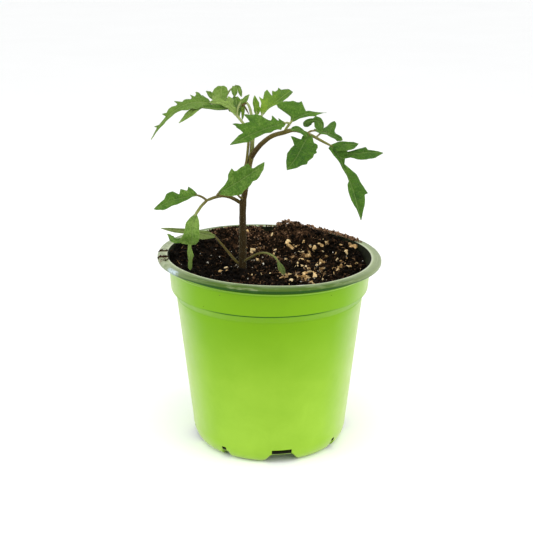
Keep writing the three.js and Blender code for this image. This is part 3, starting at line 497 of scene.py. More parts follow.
def rods(random, places, lengths, thickness, bend=0.25, slope=0.35):
    """Thin fibres: a four-sided rod along an arc, place + L t d + bend L (1/4 - t^2) n, tapered at its ends."""
    count, rings, sides = len(places), 6, 4
    t = np.linspace(-0.5, 0.5, rings)[None, :, None]
    heading = unit(np.concatenate([random.normal(size=(count, 2)), slope * random.normal(size=(count, 1))], 1))
    across = unit(np.cross(heading, random.normal(size=(count, 3))))
    up = np.cross(heading, across)
    line = places[:, None, :] + lengths[:, None, None] * (
        t * heading[:, None] + bend * (0.25 - t**2) * across[:, None])
    radius = thickness[:, None, None] * (1 - 1.8 * np.abs(t)) * 0.5
    angle = (np.arange(sides) * np.pi / 2)[None, None, :, None]
    ring = np.cos(angle) * across[:, None, None] + np.sin(angle) * up[:, None, None]
    points = (line[:, :, None] + radius[..., None] * ring).reshape(count, -1, 3)
    ends = [[3, 2, 1, 0], [(rings - 1) * sides + k for k in range(4)]]
    faces = np.vstack([grid_cells(rings, sides, wrap=True), ends])
    return repeated(points, faces, tone=random.uniform(0, 1, count))


def crumbs(random, places, sizes, uneven, *tones, levels=0):
    """Soil crumbs at places, of any size between two, with toned() tones."""
    sizes = random.uniform(*sizes, len(places))
    return toned(lumps(random, places, sizes, levels=levels, uneven=uneven), *tones)


def resting(x, y):
    """Places on the soil's surface."""
    return np.stack([x, y, soil_height(x, y)], -1)


def on_soil(random, count):
    """Random places on the soil, even over its area, clear of the stem's foot."""
    r = (SOIL_RADIUS - 1) * np.sqrt(random.uniform(0, 1, count))
    angle = random.uniform(-np.pi, np.pi, count)
    spots = resting(r * np.cos(angle), r * np.sin(angle))
    return spots[np.hypot(spots[:, 0] - MOUND["x"], spots[:, 1] - MOUND["y"]) > STEM_CLEAR]


def spilled(random, count):
    """Places on the back rim where soil was spilled: thickest at the heap, thinning towards the right."""
    share = random.beta(1.3, 1.5, count)
    bearing = 1.5 - 1.08 * share
    r = 58.6 + 1.6 * share + (1.9 - share) * random.normal(size=count)
    r = np.maximum(r, 50 + 7.6 * ease((share - 0.2) / 0.25))
    x, y = r * np.cos(bearing), r * np.sin(bearing)
    pile = 2.1 * bell(share - 0.12, 0.14) + 0.8 * bell(share - 0.5, 0.4)
    floor = np.maximum(soil_height(x, y) - 0.6, POT_HEIGHT - RIM_SKEW * x)
    height = random.uniform(0, 1, count) * pile * bell(r - 58.3, 2.6)
    return np.stack([x, y, np.where(r < 56.6, soil_height(x, y), floor) + height], -1)


def against_wall(random, count):
    """Places where soil leans on the inside of the pot round its back and left, thinning upwards."""
    bearing = random.uniform(0.9, 3.7, count)
    share = random.uniform(0, 1, count) ** 1.4
    r = 57.4 - 3.5 * share
    x, y = r * np.cos(bearing), r * np.sin(bearing)
    height = (1 - share) * random.uniform(0, 2.4, count) * (1 - bell(x - BARE["x"], 6))
    ceiling = POT_HEIGHT - 0.7 - RIM_SKEW * x
    return np.stack([x, y, np.minimum(soil_height(x, y) + height, ceiling)], -1)


def along_brim(random, count):
    """Places just inside the rim and on it at the back left, where the soil was filled to the brim."""
    bearing = random.normal(1.95, 0.32, count)
    r = 58.4 - np.abs(random.normal(0, 1.5, count))
    x, y = r * np.cos(bearing), r * np.sin(bearing)
    brim = POT_HEIGHT - RIM_SKEW * x - 0.1
    lean = ease((r - 55.5) / 2.4) * (1 - 0.75 * bell(x - BARE["x"], 5))
    low = soil_height(x, y)
    return np.stack([x, y, np.where(r > 57.8, brim, low + (brim - low) * lean - 0.3)], -1)


def make_soil_grains(soil, chip, white, fibre):
    """Everything loose in the soil: crumbs in two sizes, mineral chips, white grains and fibres."""
    random = np.random.default_rng(5)
    fine = np.vstack([on_soil(random, 5200), against_wall(random, 1500)])
    fine = crumbs(random, fine, (0.7, 1.5), 0.3, 0, 0.73, 0.25)
    dry = crumbs(random, spilled(random, 620), (0.6, 1.4), 0.35, 0.67, 1.15)
    brim_random = np.random.default_rng(8)
    brim = crumbs(brim_random, along_brim(brim_random, 420), (0.7, 1.5), 0.3, 0.3, 1.05)
    make_piece("soil_crumbs_fine", joined([fine, dry, brim]), soil, crease=30)
    coarse = np.vstack([on_soil(random, 900), against_wall(random, 120)])
    size = 1.4 + 2.2 * random.beta(1.2, 3.2, len(coarse))
    coarse = toned(lumps(random, coarse, size, levels=1, uneven=0.16), 0, 0.7, 0.21)
    dry = crumbs(random, spilled(random, 60), (1.2, 2.4), 0.22, 0.6, 1.1, levels=1)
    make_piece("soil_crumbs_coarse", joined([coarse, dry]), soil)

    x, y, size = np.array(CHIPS).T
    chip_shape = (0.7, 0.58, 0.36)
    parts = [lumps(random, resting(x, y), 1.3 * size, chip_shape, 2, 0.06, 9, 0.15)]
    for *middle, spread, count in CHIP_PATCHES:
        x, y = random.normal(middle, spread, (count, 2)).T
        inside = np.hypot(x, y) < 55
        spots = resting(x[inside], y[inside])
        size = 1.1 + 3.2 * random.beta(1.3, 2, len(spots))
        parts.append(lumps(random, spots, size, chip_shape, 1, 0.06, 9, 0.15))
    make_piece("mineral_chips", joined(parts), chip, crease=22)

    x, y, size = np.array(WHITE_GRAINS).T
    scattered = on_soil(random, 110)
    spots = np.vstack([resting(x, y), scattered])
    size = np.append(size, random.uniform(0.5, 1.3, len(scattered)))
    make_piece("white_grains", lumps(random, spots, size, (0.6, 0.55, 0.5), 1, 0.14, 2, 0.35), white)

    spots = np.vstack([on_soil(random, 330), spilled(random, 70)])
    spots[:, 2] += random.uniform(0.3, 1.1, len(spots))
    length = random.uniform(1.6, 6.5, len(spots))
    make_piece("bark_fibres", rods(random, spots, length, random.uniform(0.15, 0.5, len(spots))), fibre)


def make_rim_dirt(material):
    """Soil left on the rim in thin streaks that stray by a sine of their radius, and grains on the collar."""
    random = np.random.default_rng(9)
    parts = []
    for bearing, width, length, grains in RIM_STREAKS:
        angle = np.radians(bearing)
        r = 62 + length / 2 * random.uniform(-1, 1, grains)
        side = width / 2 * random.normal(size=grains) + 0.4 * np.sin(1.7 * r + bearing)
        x = r * np.cos(angle) - side * np.sin(angle)
        y = r * np.sin(angle) + side * np.cos(angle)
        top = np.interp(np.hypot(x, y), [58.9, 60, 62.7, 64.2, 65], [112.5, 112.9, 113, 112.7, 111.7])
        spots = np.stack([x, y, top - 0.18 - RIM_SKEW * x], -1)
        streak = lumps(random, spots, random.uniform(0.3, 1, grains), (0.7, 0.6, 0.35), rise=0.1)
        parts.append(toned(streak, 0.35, 0.85))
    angle = np.radians([209.5, 231.5, 242.8, 305])
    z = np.array([101, 94.9, 104, 104])
    r = soil_edge(z) + WALL + SOIL_CLEARANCE
    spots = np.stack([r * np.cos(angle), r * np.sin(angle), z - RIM_SKEW * r * np.cos(angle)], -1)
    parts.append(lumps(random, spots, random.uniform(0.5, 0.7, len(spots)), rise=0))
    make_piece("rim_dirt", joined(parts), material)


def blade(rib, face, left, right, lean=(85, 45), tone=0):
    """A leaflet: the points of its midrib, the way it faces, and its edges.

    Each edge is percent along the midrib and reach in mm, in turn. Side veins lean forward from the midrib by
    lean degrees, at its base and tip. The tone is above 0 for a paler leaflet, or tones from base to tip.
    """
    edges = [np.reshape([*edge, 100, TIP_HALF_WIDTH], (-1, 2)) / (100, 1) for edge in (left, right)]
    return {"rib": np.reshape(rib, (-1, 3)), "face": face, "edges": edges, "lean": lean, "tone": tone}


def stalk(path, radii, green=0.5):
    """A leaf stalk that runs on past its last point into its blade; green is 0 for brown and 1 for pale."""
    path = np.reshape(path, (-1, 3))
    return {"path": np.vstack([path, path[-1] + STALK_SUNK * unit(path[-1] - path[-2])]), "radii": radii,
            "green": green}


def edge_reach(edge, u, length):
    """How far a leaflet's edge stands from the midrib at shares of its length.

    It runs straight between the edge's points, blurred along the midrib by a bell curve EDGE_BLUR wide.
    """
    places = np.maximum.accumulate(edge[:, 0] + np.arange(len(edge)) * 1e-4)
    fine = np.linspace(-0.2, 1.2, 1401)
    line = np.interp(fine, places / places[-1], edge[:, 1])
    window = 150
    blur = np.exp(-0.5 * (np.arange(-window, window + 1) * 0.001 * length / EDGE_BLUR) ** 2)
    soft = np.convolve(np.pad(line, window, mode="edge"), blur / blur.sum(), "valid")
    return np.interp(u, fine, soft)


def vein_counts(edge, u, length):
    """Count of side veins passed at shares of a leaflet: one to each lobe's point, others between."""
    places, reach = edge.T
    peak = (reach[1:-1] >= reach[:-2]) & (reach[1:-1] > reach[2:])
    marks = np.concatenate([[0], places[1:-1][peak], [1]])
    marks = np.append(marks[:-1][np.diff(marks) > 1.6 / length], 1)
    parts = [np.linspace(a, b, max(2, round((b - a) * length / VEIN_SPACING) + 1))[:-1]
             for a, b in zip(marks, marks[1:])]
    places = np.append(np.concatenate(parts), 1)
    return np.interp(u, places, np.arange(len(places)))


def blade_surface(leaflet, number):
    """A leaflet as a thin closed sheet. Its middle surface, at share u of the midrib and v across, is

        M(u) + r (cos lean T + sin lean (cos cup side S + sin cup (1.6 |v| - 0.7 v^2) / |v| N)) + e N,

    where M is the midrib, T its heading, S and N the ways across and off the blade, r is |v| times the
    edge's reach, and e is the swelling between side veins, sin^2 of their count, plus a wavy margin and low
    noise. The two faces stand half a thickness off it, sunk on top and raised underneath along the midrib.
    """
    length = along(leaflet["rib"], [0])[2]
    widest = max(edge[:, 1].max() for edge in leaflet["edges"])
    rows = int(np.clip(length / ROW_SPACING, 10, 150))
    half = int(np.clip(widest / COLUMN_SPACING, 4, 24))
    u = np.linspace(0, 1, rows)
    v = np.linspace(0.004, 1, half) ** 0.9
    v = np.concatenate([-v[::-1], v])
    side, off = np.sign(v), np.abs(v)

    middle, heading, _ = along(leaflet["rib"], u)
    across = unit(np.cross(heading, leaflet["face"]))
    normal = np.cross(across, heading)
    reach, count = (np.where(side < 0, *(of(edge, u, length)[:, None] for edge in leaflet["edges"]))
                    for of in (edge_reach, vein_counts))
    right_half = 40  # its veins are counted on from here, a whole number
    count = count + np.where(side < 0, 0, right_half)

    lean = np.radians(leaflet["lean"][0] + (leaflet["lean"][1] - leaflet["lean"][0]) * u)[:, None]
    out = reach * off
    mm_along = (u * length)[:, None] + out * np.cos(lean)
    mm_across = side * out * np.sin(lean)
    grain = np.stack([mm_along, mm_across, np.full_like(out, 7.3 * number)], -1)
    margin = np.clip(0.045 * reach, 0.05, 0.42) * off**2
    wave = np.sin(2 * np.pi * mm_along / 7.5 + 1.3 * number + np.where(side < 0, 0, 2.1))
    swell = 0.045 * np.minimum(reach, 6) * np.sin(np.pi * count) ** 2 * np.sqrt(off) * (1 - off**3)
    lift = reach * np.sin(lean) * np.sin(CUP) * (1.6 * off - 0.7 * off**2) + swell + margin * wave
    lift = lift + 0.09 * layered_noise(grain, 2.2, 2, 71) * np.minimum(1, out)
    sheet = middle[:, None] + sum(size[..., None] * way[:, None] for size, way in (
        (out * np.cos(lean), heading), (mm_across * np.cos(CUP), across), (lift, normal)))

    groove = (1 - 0.75 * u)[:, None] * bell(mm_across, 0.32)
    taper = LAMINA / 2 * np.sqrt(1.02 - off**2) + 0.02
    upper, lower = (sheet + size[..., None] * normal[:, None]
                    for size in (taper - 0.1 * groove, -(taper + 0.42 * groove)))

    def both(values, below=None):
        """Values for the upper face and, in the other direction, for the lower one."""
        return np.concatenate([values, (values if below is None else below)[:, ::-1]], axis=1)

    width = 2 * half
    here = np.arange(width - 1)
    start = np.stack([here, 2 * width - 1 - here, 2 * width - 2 - here, here + 1], -1)
    end = start[:, ::-1] + (rows - 1) * 2 * width
    tones = np.atleast_1d(leaflet["tone"])
    tone = np.interp(u, np.linspace(0, 1, len(tones)), tones)
    veins = both(np.stack([count, np.broadcast_to(off, count.shape), mm_across], -1))
    return surface_of(
        both(upper, lower).reshape(-1, 3), [grid_cells(rows, 2 * width, wrap=True), start, end],
        veins=veins.reshape(-1, 3), lamina=both(grain).reshape(-1, 3),
        under=np.tile(np.repeat([0.0, 1.0], width), rows), tone=np.repeat(tone, 2 * width))


def tube_at(path, radii, shares, angles):
    """Middle, way outwards and radius of a tube at shares of its length and angles round it.

    The way outwards is cos(angle) A + sin(angle) B, with A square to the heading and to the normal of the
    plane that the path lies nearest to, and B square to both.
    """
    centre, heading, _ = along(path, shares)
    line = along(path, np.linspace(0, 1, 60))[0]
    plane = np.linalg.svd(line - line.mean(axis=0))[2][2]
    across = unit(np.cross(heading, plane))
    outward = np.cos(angles)[..., None] * across + np.sin(angles)[..., None] * np.cross(heading, across)
    return centre, outward, np.interp(shares, np.linspace(0, 1, len(radii)), radii)


def tube_surface(path, radii, green, sides=14, step=0.6, rough=0.05, collars=(), tip=1.0):
    """A tube along a path: radius from the list, times 1 + noise + a swelling at each collar's height.

    Each collar is the height and share of a swelling, and tip is the share of the radius left at the end.
    """
    length = along(path, [0])[2]
    rings = max(6, round(length / step))
    shares = np.linspace(0, 1, rings)[:, None]
    angles = (np.arange(sides) * 2 * np.pi / sides)[None, :]
    centre, outward, radius = tube_at(path, radii, shares, angles)
    swelling = sum(share * bell(centre[..., 2] - height, 2) for height, share in collars)
    ends = 1 - (1 - tip) * ease((shares * length - length + 2 * STALK_SUNK) / (2 * STALK_SUNK))
    skin = np.stack(np.broadcast_arrays(np.cos(angles), np.sin(angles), shares * length), -1)
    noise = layered_noise(skin * [1.6, 1.6, 0.22] + radii[0] * 9, 1, 3, 17)
    size = radius * ends * (1 + swelling + rough * noise)
    points, cells, fans = closed(centre + size[..., None] * outward)
    green = np.atleast_1d(green)
    green = np.repeat(np.interp(shares[:, 0], np.linspace(0, 1, len(green)), green), sides)
    skin = np.vstack([skin.reshape(-1, 3), skin[[0, -1]].mean(axis=1)])
    return surface_of(points, [cells, *fans], skin=skin, green=np.append(green, green[[0, -1]]))


def hairs(roots, ways, lengths, width=0.05):
    """Fine hairs, all of the middle tone: a three-sided pyramid each, from root to root + length times way."""
    ways = unit(ways)
    across = unit(np.cross(ways, [0.3, 0.5, 0.81]))
    angle = (np.arange(3) * 2 * np.pi / 3)[None, :, None]
    foot = np.cos(angle) * across[:, None] + np.sin(angle) * np.cross(ways, across)[:, None]
    tips = (roots + lengths[:, None] * ways)[:, None]
    points = np.concatenate([roots[:, None] + width / 2 * foot, tips], axis=1)
    faces = np.array([(0, 2, 1), (0, 1, 3), (1, 2, 3), (2, 0, 3)])
    return repeated(points, faces, tone=np.full(len(roots), 0.5))


def tube_hairs(random, path, radii, per_mm, longest=1.0):
    """Hairs all round a tube, standing outwards with some scatter."""
    count = int(per_mm * along(path, [0])[2])
    shares = random.uniform(0, 1, count)
    angles = random.uniform(0, 2 * np.pi, count)
    centre, outward, radius = tube_at(path, radii, shares, angles)
    ways = outward + 0.35 * random.normal(size=(count, 3))
    lengths = longest * random.uniform(0.35, 1, count) ** 1.5
    return hairs(centre + 0.9 * radius[:, None] * outward, ways, lengths + 0.1 * radius)


def blade_hairs(random, surface, per_mm=0.92, longest=0.5):
    """Hairs on a leaflet: half along its margins and half off its faces, at points of its own surface."""
    points = surface["points"]
    off = surface["values"]["veins"][:, 1]
    at_margin = np.flatnonzero(off > 0.97)
    inside = np.flatnonzero((off < 0.95) & (off > 0.02))
    count = int(per_mm * len(at_margin) * 0.5)
    chosen = np.concatenate([random.choice(at_margin, count), random.choice(inside, count)])
    outward = unit(points[chosen] - points.mean(axis=0)) + 0.5 * random.normal(size=(2 * count, 3))
    lengths = longest * random.uniform(0.3, 1, 2 * count)
    return hairs(points[chosen], outward, lengths, width=0.035)


# The leaves and the stem: paths and midribs are x, y and z in turn, and edges are as blade() says
LEAF_LOWER_LEFT = [
    stalk((-15.5, 4, 141, -19, 2.5, 143.6, -22.1, 0, 145.9, -26, -4, 147.8, -30.3, -8, 148.1, -35.2, -10.5,
          146.8), (1.1, 0.8), (0.25, 0.45, 0.6)),
    stalk((-29.5, -7.5, 148.1, -29.2, -10, 149.8, -28.4, -12, 151.3), (0.8, 0.7)),
    stalk((-35.2, -10.5, 146.8, -38, -11.5, 149, -40.5, -12, 150.1), (0.65, 0.6)),
    stalk((-35.2, -10.5, 146.8, -38.3, -13, 144, -41.3, -16, 140.1), (0.75, 0.9), (0.5, 0.85)),
    blade((-28.4, -12, 151.3, -19.4, -15, 157.2, -10.6, -19, 163.7, -3, -23, 171), (-0.1, -0.9, 0.45),
          (0, 0.8, 14, 2.3, 23, 4.4, 25, 6.4, 33, 9, 36, 6.8, 41, 6.1, 51, 6.8, 65, 6.4, 70, 2.8, 76, 1.6, 85,
          1.4),
          (0, 1, 7, 3, 17, 5.8, 24, 6.9, 32, 8.2, 39, 7.3, 54, 6.3, 60, 5.4, 64.5, 6.2, 70, 5.8, 85, 4.2, 94,
          2), tone=0.28),
    blade((-40.5, -12, 150.1, -47.3, -15, 149.4, -55.3, -18, 148, -63.9, -21, 144.4), (-0.1, -0.6, 0.8),
          (0, 0.6, 11, 0.5, 30, 3.1, 44, 4.3, 62, 5.3, 76, 5.2, 92, 2.2),
          (0, 1, 6, 4.1, 13, 7.1, 17, 4.5, 20, 4.3, 29, 6.1, 36, 2.9, 44, 5.7, 56, 5.6, 67, 2.9, 90, 1.2),
          (100, 50), 0.2),
    blade((-41.3, -16, 140.1, -42.2, -18.5, 137, -42.9, -21, 134, -43, -22.5, 129.5, -43.7, -21, 123.7), (0,
          -0.95, 0.25),
          (0, 0.9, 14, 2.9, 31, 4, 50, 4.2, 65, 4.6, 80, 3.8, 93, 2.4),
          (0, 0.9, 14, 2.8, 30, 4.1, 45, 4.3, 57, 5, 67, 6.1, 81, 7.6, 92, 5.5), (75, 80), 0.5),
    blade((-47, -21, 126.6, -52.4, -20, 125.6, -55.4, -17, 126, -57.5, -15, 128.3), (0, -0.9, 0.4),
          (0, 1.5, 30, 1.2, 63, 1.4, 85, 0.6),
          (0, 1.5, 30, 1.6, 55, 2.7, 83, 1.7), (80, 50), 0.3),
    # narrow strip hanging below the others, painted paler (tone 1.5): painted light where it lies in their
    # shade
    blade((-44.5, -21.3, 126, -44.6, -21.5, 120, -44.5, -21, 115.3, -44.7, -20, 108.7), (0.2, -0.95, 0.1),
          (0, 1, 22, 0.8, 33, 1.6, 46, 2.1, 62, 1.1, 90, 1),
          (0, 1, 20, 1.2, 36, 1.6, 60, 1.3, 90, 1.5), (80, 80), 1.5),
]

LEAF_RIGHT = [
    stalk((-10.6, 4, 168, -8.3, 2.4, 172, -4.5, -1, 177.1, 1.1, -5, 182.1, 8, -8.5, 184.9, 13.1, -10, 186.4,
          18.5, -12, 185.6, 23.1, -13, 184, 27.6, -14, 181.7, 33.3, -15, 178.9), (1.5, 1.4, 1.2, 0.88, 0.55),
          (0.18, 0.38, 0.6, 0.6)),
    stalk((8, -8.5, 184.9, 9.6, -8, 187.6, 12.4, -5, 190.7), (0.8, 0.6), 0.75),
    stalk((10.6, -6.8, 188.8, 10.2, -9, 190.2, 8.6, -11, 190.6), (0.6, 0.55), 0.75),
    stalk((19.5, -12.2, 185.2, 20.8, -13, 185, 21.8, -14, 184.5), (0.7, 0.6)),
    stalk((20.5, -12.4, 184.9, 22.5, -9, 185.6, 24.9, -6, 185.5), (0.6, 0.5)),
    stalk((25.8, -13.7, 182.8, 26.3, -10, 183, 28.3, -5, 183.6, 31, -2, 183.4), (0.5, 0.4)),
    # front leaflet, across the stem
    blade((8.6, -11, 190.6, 2, -15, 189.4, -6, -20, 187.3, -13.2, -24, 184.8, -21, -28, 181.7), (-0.1, -0.8,
          0.6),
          (0, 1, 4, 2.9, 7, 2.6, 9, 4.5, 15, 3.6, 22, 3.4, 27, 4.2, 39, 3.4, 49, 3.8, 56, 4.3, 65, 4.9, 78,
          3.4, 90, 1.6),
          (0, 1, 2, 2.4, 3.5, 4.3, 6, 2.6, 8.3, 2.3, 9, 6.9, 13, 4.9, 16.5, 4, 19, 5.2, 21.5, 8.2, 25, 10.9,
          33, 13, 38, 13.9, 40, 10.4, 42.5, 8, 49, 9.2, 60, 12.6, 60.4, 9.4, 62.5, 9.4, 63.2, 6, 65.5, 3.8,
          75, 3.5, 90, 1.6), (70, 40), 0.15),
    # leaflet lying out behind
    blade((12.4, -5, 190.7, 16.1, -4, 192.6, 21.8, -1, 194.2, 31.7, 3, 194.1), (0, -0.75, 0.65),
          (0, 0.9, 8, 2.3, 11, 3.1, 12.5, 6, 13, 10.5, 14, 13.8, 20, 13, 25, 12.4, 28, 10.5, 32, 9.8, 35, 8.4,
          38.5, 8.1, 41.5, 8.8, 42, 5, 42.5, 1.9, 51, 1.7, 66, 0.9, 79, 0.9),
          (0, 0.8, 10, 1.5, 22, 1.3, 33, 1.9, 43, 2.4, 53, 3.1, 57, 3.6, 63, 2.4, 75, 2, 90, 1), (140, -10),
          0.2),
    # hanging leaflet
    blade((21.8, -14, 184.5, 18.9, -17, 180.6, 14.8, -21, 173.6, 9.6, -25, 167.4), (-0.2, -0.8, 0.5),
          (0, 1.5, 10, 3.4, 19, 5.3, 21, 8, 26, 9, 31, 8.6, 34.5, 9.9, 39, 8.8, 44, 9.4, 49, 8.4, 53, 7.6,
          57.5, 8.2, 64, 6.3, 74, 5.1, 84, 3),
          (0, 1.5, 14, 2.9, 21, 2.5, 22.5, 4.6, 24, 8.9, 30, 6.2, 37, 4.3, 45, 5.5, 56, 6, 75, 4.2, 93, 1.4),
          (110, 40)),
    blade((21, -14.8, 183.4, 18.9, -16, 186.2, 15.6, -18, 188.4, 11.6, -20, 188.2), (0, -0.8, 0.6),
          (0, 1.5, 30, 2.5, 57, 2.7, 80, 1.7),
          (0, 1.5, 30, 1, 50, 1.4, 67, 2.2, 79, 2.2, 93, 1), (70, 40)),
    # lobed middle leaflet
    blade((24.9, -6, 185.5, 30.5, -1, 183.8, 36.1, 2, 181.2, 41, 1, 178.9), (0, -0.6, 0.8),
          (0, 1.2, 10, 1.3, 24, 1, 33, 1.9, 45, 5.6, 51, 9.8, 56, 11.7, 61, 9.5, 65, 3.8, 72, 2.2, 88, 2),
          (0, 0.8, 6, 3, 24, 4.2, 42, 3.6, 55, 4.2, 77, 3.6, 92, 2), (80, 50), 0.12),
    blade((29.5, -2, 184.3, 28.9, 3, 188.3, 25.4, 6, 189.3, 21.6, 4, 188.8, 19.6, 0, 186.7), (0.2, -0.7, 0.6),
          (0, 3.6, 5, 4.8, 20, 4.9, 35, 4.4, 50, 3.8, 68, 3.6, 80, 3.2, 92, 2),
          (0, 1.5, 12, 1, 31, 1.6, 41, 2.8, 50, 2.7, 56, 1.2, 75, 1.8, 86, 2.2, 96, 1.2), (80, 50), 0.1),
    # end leaflet: wing, two side lobes, long tip
    blade((33.2, -15, 179, 36.3, -15.5, 175.4, 39.2, -16, 171, 40.7, -16, 166.5), (0.1, -0.75, 0.6),
          (0, 2.5, 12, 6, 30, 7, 50, 5.5, 60, 2.9, 77, 1.6),
          (0, 2.4, 28, 2.8, 59, 2.1, 86, 1.2), (75, 60)),
    blade((34.5, -15, 177.2, 38.8, -14, 178.8, 43.7, -13, 178.8, 48.8, -12, 179.2), (0, -0.7, 0.7),
          (0, 2, 20, 2.3, 49, 2.4, 76, 1.9),
          (0, 3, 11, 4.1, 30, 5.5, 63, 4, 85, 1.9), (80, 40)),
    blade((38, -15, 173.3, 46.1, -14, 173.9, 54.2, -14, 174.7, 62.3, -14, 174.5), (0, -0.7, 0.7),
          (0, 2, 16, 1.6, 33, 2.4, 55, 4, 63, 1.9, 86, 1.3),
          (0, 2, 4, 3, 22, 2.6, 32, 4.5, 49, 6.2, 71, 4.9, 88, 2.2), (80, 45)),
    blade((40, -16, 168.5, 43.3, -18, 161.6, 46.6, -20, 153, 48.8, -21, 145.3, 50.7, -22, 138.4), (0.3, -0.8,
          0.4),
          (0, 1.2, 6, 2.3, 19, 5.1, 28, 6, 36, 6.6, 42, 7.4, 47.5, 9, 50.5, 6.7, 60, 5.9, 69, 5.1, 87, 2.2),
          (0, 1.2, 7, 1.1, 21, 0.5, 30, 0.6, 31.5, 2.4, 40, 3.7, 56, 3.9, 68, 2.6, 76, 1.5, 91, 0.7), (80,
          40), 0.05),
]

LEAF_UPPER_LEFT = [
    stalk((-13, 4, 155, -14.6, 3.4, 160, -13.2, 3.2, 166, -12.4, 2.9, 172.8, -12, 2.7, 177.3, -12.2, 2.5, 182,
          -13.3, 2.2, 186, -16.6, 2, 190.4, -19.4, 2, 193.5, -23.1, 2, 196.8, -27.8, 2.5, 198.7, -32.8, 2,
          199.6), (0.75, 0.75), (0.45, 0.5, 0.6, 0.9, 1, 1)),
    # end leaflet
    blade((-32.9, 2, 199.6, -40.8, -2, 200.5, -47.6, -6, 199.3, -54.4, -10, 195, -59.8, -13, 189.6, -64.7,
          -15.8, 182.4), (-0.2, -0.6, 0.75),
          (0, 2, 6, 3.6, 11, 5.7, 19, 7.6, 33, 7.2, 42, 3.8, 53, 2.4, 64, 2.4, 72, 2.3, 79, 1.6, 90, 0.7),
          (0, 3.4, 3, 4.4, 5, 5.4, 7.5, 4.8, 8.5, 6.8, 12, 7.9, 12.5, 6.1, 16, 4.5, 19.5, 6.6, 20, 4, 23, 2.9,
          30, 3.8, 34, 3, 39.5, 6.1, 40.5, 3, 44, 2.6, 47, 4, 51, 4.3, 55, 3.5, 58, 2.8, 61, 4.7, 64, 1.3, 68,
          1.1, 78, 1, 80, 3.6, 82, 1.1), (75, 45), 0.1),
    blade((-37, -2, 199.8, -41.9, -8, 197.2, -45.9, -11, 193.8, -49.5, -13, 190.9), (-0.2, -0.8, 0.5),
          (0, 2.5, 30, 3.2, 52, 3.2, 79, 1.6),
          (0, 2, 40, 1.8, 62, 2.2, 86, 1), (70, 40), 0.35),
    # pale upright leaflet
    blade((-27.9, 3, 197.6, -27.5, 9, 200.7, -27.6, 14, 203.6, -27.5, 17, 207), (-0.1, -0.75, 0.65),
          (0, 1.5, 20, 3.5, 38, 5.2, 60, 5.5, 78, 4.5, 93, 2.4),
          (0, 1.5, 20, 2.6, 41, 3.6, 63, 4.7, 82, 3.7, 94, 2), (85, 60), 0.25),
    blade((-28, 5, 198.6, -31, 6, 201.5, -33.5, 6, 203.3, -35.6, 6, 205.6), (-0.1, -0.7, 0.65),
          (0, 1.5, 30, 1.8, 55, 1.8, 80, 0.9),
          (0, 1.5, 35, 1.4, 50, 2.5, 66, 2.5), (70, 50)),
    # leaflet under the rachis, painted darker (tone -0.35): painted shade under the rachis
    blade((-23.2, 1.6, 196.6, -29, -2, 197, -33.4, -4, 197.8, -38.2, -5, 198), (0, -0.95, 0.2),
          (0, 0.7, 14, 0.9, 51, 1, 79, 0.8),
          (0, 1.2, 20, 2.4, 50, 2.6, 80, 1.8), (70, 50), -0.35),
    # leaflets that lie along the rachis, between the end leaflet and the basal ones
    blade((-18.6, 1, 193.8, -21.9, -0.5, 197.3, -25.5, -1, 199.5, -29.9, -1, 200.5, -33.2, 0, 200.3), (-0.1,
          -0.8, 0.6),
          (0, 0.8, 15, 1.6, 28, 1, 45, 1.9, 60, 1.1, 75, 1.6, 92, 1),
          (0, 0.8, 14, 2.4, 24, 1.4, 38, 3.2, 50, 1.8, 66, 3.4, 78, 2, 93, 1), (80, 50), 0.55),
    blade((-20.6, 0.5, 194.9, -21.8, 2, 198.6, -22.5, 4, 200.9, -23.2, 6, 202.6), (0.2, -0.8, 0.6),
          (0, 0.8, 25, 2.4, 40, 1.5, 62, 2.6, 80, 1.2),
          (0, 0.8, 20, 2.2, 35, 1.4, 55, 2.8, 70, 1.6, 88, 1.1), (75, 50), 0.35),
    blade((-27.7, 0, 197.6, -29.2, 1, 200.1, -30.6, 3, 201.8, -31.8, 5, 203.1), (-0.2, -0.8, 0.6),
          (0, 0.8, 25, 1.7, 45, 1.2, 65, 2, 85, 1),
          (0, 0.8, 30, 2, 50, 1.2, 70, 1.8, 88, 0.8), (75, 50), 0.6),
    # basal leaflets round the petiole
    blade((-17.8, 2.3, 191.6, -18.6, 9, 196.8, -19.3, 14.5, 201.2), (0.45, -0.75, 0.5),
          (0, 1.5, 25, 3.2, 40, 2.6, 60, 4.2, 75, 3, 90, 2.2),
          (0, 1, 20, 1.8, 38, 3.4, 50, 3, 68, 4.2, 80, 3, 93, 1.6), (80, 60)),
    blade((-21.3, 2, 194.6, -22.2, 7, 198.4, -23.2, 11, 201.6), (0, -0.8, 0.6),
          (0, 1.4, 30, 2.6, 50, 2.2, 65, 3, 85, 1.8),
          (0, 1.4, 30, 2.4, 50, 2, 70, 2.6, 88, 1.4), (80, 60)),
    stalk((-18.4, 1.6, 192.6, -17.7, 1, 196.9, -16.4, 1.6, 199.7), (0.5, 0.4), 0.9),
    blade((-16.6, 1.5, 199.3, -14, 2, 201.8, -11.4, 2.5, 204.1), (0.1, -0.9, 0.4),
          (0, 0.7, 20, 1.6, 35, 1, 60, 1.2, 85, 0.7),
          (0, 0.7, 15, 1.2, 40, 2.4, 55, 1, 85, 0.7), (75, 40)),
    # arching young leaflet, folded into two lobes
    stalk((-26.5, 2.5, 198.2, -25.8, 8, 199.6, -25, 12, 200.8, -23, 16, 204.4, -20.3, 17, 206.6), (0.55,
          0.45), 0.85),
    blade((-20.4, 17, 207, -20.3, 15, 205.7, -20.1, 13, 204.1, -20.1, 12, 201.5), (0, -1, 0.1),
          (0, 0.8, 25, 2.1, 61, 2.1, 85, 1),
          (0, 0.8, 37, 1.8, 62, 1.6, 89, 0.6), (80, 60)),
    blade((-19.8, 17, 206.8, -17.7, 17, 206.5, -16.6, 15, 204.6, -16, 14, 201.5), (0.3, -0.9, 0.1),
          (0, 0.8, 28, 0.9, 65, 0.9, 85, 0.5),
          (0, 0.8, 30, 1.5, 61, 2, 88, 1), (80, 60)),
]

